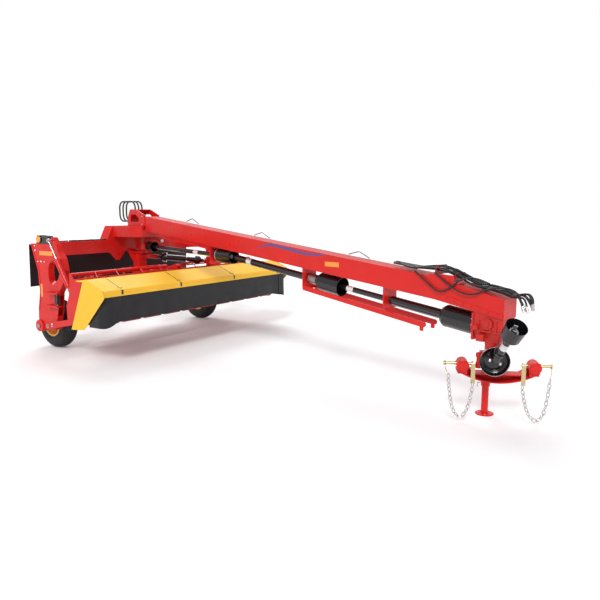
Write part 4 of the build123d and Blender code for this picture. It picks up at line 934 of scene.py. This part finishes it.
for name, index, y, first, last, inner, outer, look in (
        ("bell_drum", 1, 3.9648, 0.012, 0.14, 0.0605, 0.064, BARE_STEEL),
        ("bell_clamp_middle", 1, 3.9648, 0.146, 0.158, 0.0625, 0.068, BLACK_PAINT),
        ("bell_clamp_rear", 0, 2.0595, 0.07, 0.086, 0.1003, 0.103, ZINC),
        ("bell_clamp_front", 2, 5.9, 0.04, 0.056, 0.1161, 0.1185, BLACK_PAINT)):
    band(name, *on_shaft(index, y), first, last, inner, outer, look, "tongue")
for name, index, first, last, radius in (("rear_shaft_label", 0, 1.3, 1.42, 0.0342),
                                         ("middle_shaft_label", 1, 0.3, 0.4, 0.0462),
                                         ("front_shaft_label", 2, 0.3, 0.4, 0.0342)):
    band(name, *on_shaft(index, SHAFT_LINES[index][0][1]), first, last, radius, radius + 0.0006,
         DECAL, SHAFT_BODIES[index])
cross = [(-0.052, 0.03), (-0.05, 0.038), (-0.02, 0.038), (-0.016, 0.03)]
for index, y in enumerate((2.41, 4.205)):
    lathe("joint_cross_%d" % (index + 1), cross, *on_shaft(index, y), ZINC,
          SHAFT_BODIES[index], 24)
for index, y in enumerate((2.05, 3.95, 5.2)):
    spots = [(x, y - 0.0072, shaft_point(index, y)[2] + up)
             for up in (0.055, -0.05) for x in (-0.088, 0.088)]
    bolts("hanger_bolts_%d" % (index + 1), tongue(spots), -TONGUE_FRONT, 0.012, 0.009, "tongue")
for side, label in SIDES:
    block("rail_tab_" + label, (side * 0.108, 5.7, 0.846), (0.012, 0.046, 0.062), tongue, RED,
          "tongue", 0.004)

# ---- legs
LEG_FACE, LAMP_FACE, ARM_FACE, END_FACE = 1.8684, 1.8585, 1.9003, 1.9443
SPRING_X, SPRING_Y = 1.9145, 0.345


def side_bolts(name, side, face, places, radius, body):
    """Bolts on an upright face of the machine's side, at (y, z) places."""
    spots = [(face, y, z) for y, z in places]
    bolts(name, mirrored(spots, side), (side, 0, 0), radius, 0.009, body)


def leg_face(side, label):
    """Reflectors and bolts on the outside of one leg."""
    for name, low, high, thickness in (
            ("leg_reflector_", (-0.09, 1.436), (0.225, 1.498), 0.004),
            ("leg_strip_", (-0.112, 0.82), (-0.062, 1.01), 0.003)):
        outline = mirrored(square(LEG_FACE, low, high), side)
        slab(name + label, outline, side * thickness, REFLECTOR, "trail_frame", 0.001)
    places = ((-0.14, 1.34), (-0.06, 1.34), (0.02, 1.34), (-0.2, 1.5), (-0.2, 1.57))
    side_bolts("leg_bolts_" + label, side, LEG_FACE, places, 0.012, "trail_frame")


def lamp_lens(side, label):
    """Edge ring, domed lens and bezel of one marker lamp."""
    eye, way = mirrored((LAMP_FACE, -0.098, 1.666), side), (side, 0, 0)
    edge = [(0, 0.0423), (0.0162, 0.0423), (0.0162, 0.05), (0, 0.052)]
    turned_loop("lens_edge_" + label, edge, eye, way, AMBER, "trail_frame", 40)
    dome = [(0.0164, 0.05), (0.021, 0.048), (0.025, 0.038), (0.027, 0.02), (0.0275, 0.004)]
    lathe("lens_dome_" + label, dome, eye, way, AMBER, "trail_frame", 40, 60)
    bezel = [(0, 0.0525), (0.013, 0.0505), (0.015, 0.0525), (0.012, 0.058), (0, 0.0595)]
    turned_loop("lamp_bezel_" + label, bezel, eye, way, BLACK_PLASTIC, "trail_frame", 40)


def arm_trim(side, label):
    """Pins and bolts on the outside of one lift arm."""
    for name, y, z, radius in (("arm_pin_", 0.06, 0.4, 0.034),
                               ("arm_pin_front_", 0.698, 0.524, 0.03)):
        pin = [(0, radius), (0.006, radius), (0.009, radius - 0.004), (0.01, 0.016),
               (0.018, 0.015)]
        lathe(name + label, pin, mirrored((ARM_FACE, y, z), side), (side, 0, 0), BARE_STEEL,
              "lift_arms", 24)
    places = ((0.17, 0.407), (0.163, 0.437), (0.571, 0.485), (0.565, 0.514))
    side_bolts("arm_bolts_" + label, side, ARM_FACE, places, 0.012, "lift_arms")


def balance_spring(side, label):
    """An upright coil on a rod, held between two brackets on the leg.

    The coil is a circle of 34 mm whose height grows evenly with its angle, for eight turns.
    """
    turns, rise = 8, 0.146
    t = np.linspace(0, turns, turns * 20)
    coil = circle((SPRING_X, SPRING_Y, 0.745), 0.034, 2 * math.pi * t, (0, 1))
    coil[:, 2] += rise * t / turns
    tube("balance_spring_" + label, mirrored(coil, side), 0.0072, BLACK_PAINT, "trail_frame", 8)
    lathe("spring_rod_" + label, [(0, 0.009), (0.22, 0.009)],
          mirrored((SPRING_X, SPRING_Y, 0.7), side), UP, ZINC, "trail_frame", 12)
    for tag, z in (("low", 0.715), ("high", 0.903)):
        block("spring_seat_%s_%s" % (tag, label), (side * 1.9116, 0.25, z),
              (0.086, 0.275, 0.022), machine, RED, "trail_frame")


def end_plate(side, label):
    """Bolts on the outside of the header's end plate."""
    places = ((0.681, 0.8), (0.76, 0.715), (0.664, 0.676), (0.8, 0.9))
    side_bolts("end_plate_bolts_" + label, side, END_FACE, places, 0.013, "header")


def leg_edge(side, label):
    """A strip along the leg's curved rear edge."""
    line = np.array([(-0.292, 1.592), (-0.226, 1.405), (-0.152, 1.21), (-0.141, 1.06),
                     (-0.132, 0.905), (-0.162, 0.76), (-0.194, 0.622)])
    inner, outer, wide = 1.8683, 1.8735, 0.026
    section = [(inner, 0, 0), (inner, wide, 0), (outer, wide, 0), (outer, 0, 0)]
    ribbon("leg_edge_" + label, line, section, lambda points: mirrored(points, side), RED,
           "trail_frame")


def cylinder_hose(side, label):
    """The lift cylinder's hose, from the cross beam over the leg's top."""
    route = [(1.2, -0.36, 1.6105), (1.5, -0.33, 1.6105), (1.7, -0.2, 1.612),
             (1.74, -0.16, 1.615), (1.805, 0.15, 1.67), (1.84, 0.2, 1.715),
             (1.892, 0.235, 1.705)]
    tube("cylinder_hose_" + label, mirrored(through(route), side), 0.0085, HOSE_RUBBER,
         "trail_frame", 8)


for side, label in SIDES:
    for part in (leg_face, lamp_lens, arm_trim, balance_spring, leg_edge, end_plate,
                 cylinder_hose):
        part(side, label)

# ---- cross beam and rear shield
for number, y in enumerate((-0.345, -0.372, -0.398), 1):
    line = [(x, y, 1.61) for x in (-1.15, -0.6, 0.0, 0.6, 1.15)]
    tube("beam_line_%d" % number, machine(through(line)), 0.0085, HOSE_RUBBER, "trail_frame", 8)
for number, x in enumerate((-1.05, -0.72, 0.72, 1.05), 1):
    foot = [(x, -0.415), (x + 0.03, -0.415), (x + 0.03, -0.328), (x, -0.328)]
    slab("beam_clamp_%d" % number, machine([(*corner, 1.6005) for corner in foot]), 0.02,
         BLACK_PLASTIC, "trail_frame", 0.003)
spots = [(x, -0.6355, 1.555) for x in np.linspace(-1.62, 1.62, 13)]
bolts("shield_bolts", machine(spots), (0, 1, 0), 0.011, 0.008, "trail_frame")

# ---- hood
SEAMS = (1.75, 0.66, -0.55, -1.75)
HINGE, LIP = np.array([1.2165, 1.173]), np.array([1.56, 1.035])    # ends of the slope, (y, z)


def hood_seam(number, x):
    """A dark joint line down the hood's slope, with two studs near the lip."""
    slope = unit(LIP - HINGE)
    above = np.array([-slope[1], slope[0]])
    low, high = HINGE + slope * 0.01 + above * 0.0004, LIP - slope * 0.004 + above * 0.0004
    outline = [(x - 0.0055, *low), (x + 0.0055, *low), (x + 0.0055, *high), (x - 0.0055, *high)]
    slab("hood_seam_%d" % number, machine(outline), 0.0016, BLACK_SHEET, "hood_door")
    spot = LIP - slope * 0.05 + above * 0.0006
    bolts("seam_studs_%d" % number, machine([(x - 0.03, *spot), (x + 0.03, *spot)]),
          (0, *above), 0.008, 0.004, "hood_door", BLACK_SHEET, 10)


for number, x in enumerate(SEAMS, 1):
    hood_seam(number, x)
for number, x in enumerate(SEAMS, 1):
    block("door_latch_%d" % number, (x, 1.5665, 0.998), (0.034, 0.012, 0.062), machine,
          BLACK_PLASTIC, "hood_door")


# ---- header: pipes behind the hood
def header_pipe(name, side, y, z, radius, reach):
    """A pipe from the middle out along the header's beam and down at its end."""
    line = [(side * 0.26, y + 0.03, z), (side * 0.34, y, z), (side * reach * 0.7, y, z),
            (side * reach, y, z), (side * (reach + 0.3), y + 0.02, z - 0.02),
            (side * 1.76, y + 0.03, z - 0.06), (side * 1.84, y + 0.04, z - 0.16)]
    tube(name, machine(through(line)), radius, RED, "header", 12)


for tag, y, z, radius, reach in (("upper", 0.668, 1.208, 0.0135, 0.94),
                                 ("middle", 0.628, 1.188, 0.011, 1.1),
                                 ("lower", 0.6, 1.16, 0.0095, 1.02)):
    for side, label in SIDES:
        header_pipe("header_pipe_%s_%s" % (tag, label), side, y, z, radius, reach)
brace = np.array([(0, 0.745, 1.206), (0.07, 0.86, 1.18), (0.14, 0.985, 1.146)])
braces = [machine(through(brace + (x, 0, 0), 4))
          for x in (-1.62, -1.25, -0.8, -0.42, 0.34, 0.72, 1.18, 1.55)]
tubes("hood_braces", braces, 0.0085, RED, "header", 8)
clip_axes = [(1, 0, 0), (0, 0.9, 0.435), (0, -0.435, 0.9)]
clips = [(side * x, 0.634, 1.184) for side in (1, -1) for x in (0.46, 0.74, 1.0)]
for number, centre in enumerate(clips, 1):
    bar("pipe_clip_%d" % number, machine(centre), (0.024, 0.11, 0.006), clip_axes, ZINC,
        "header", 0.001)
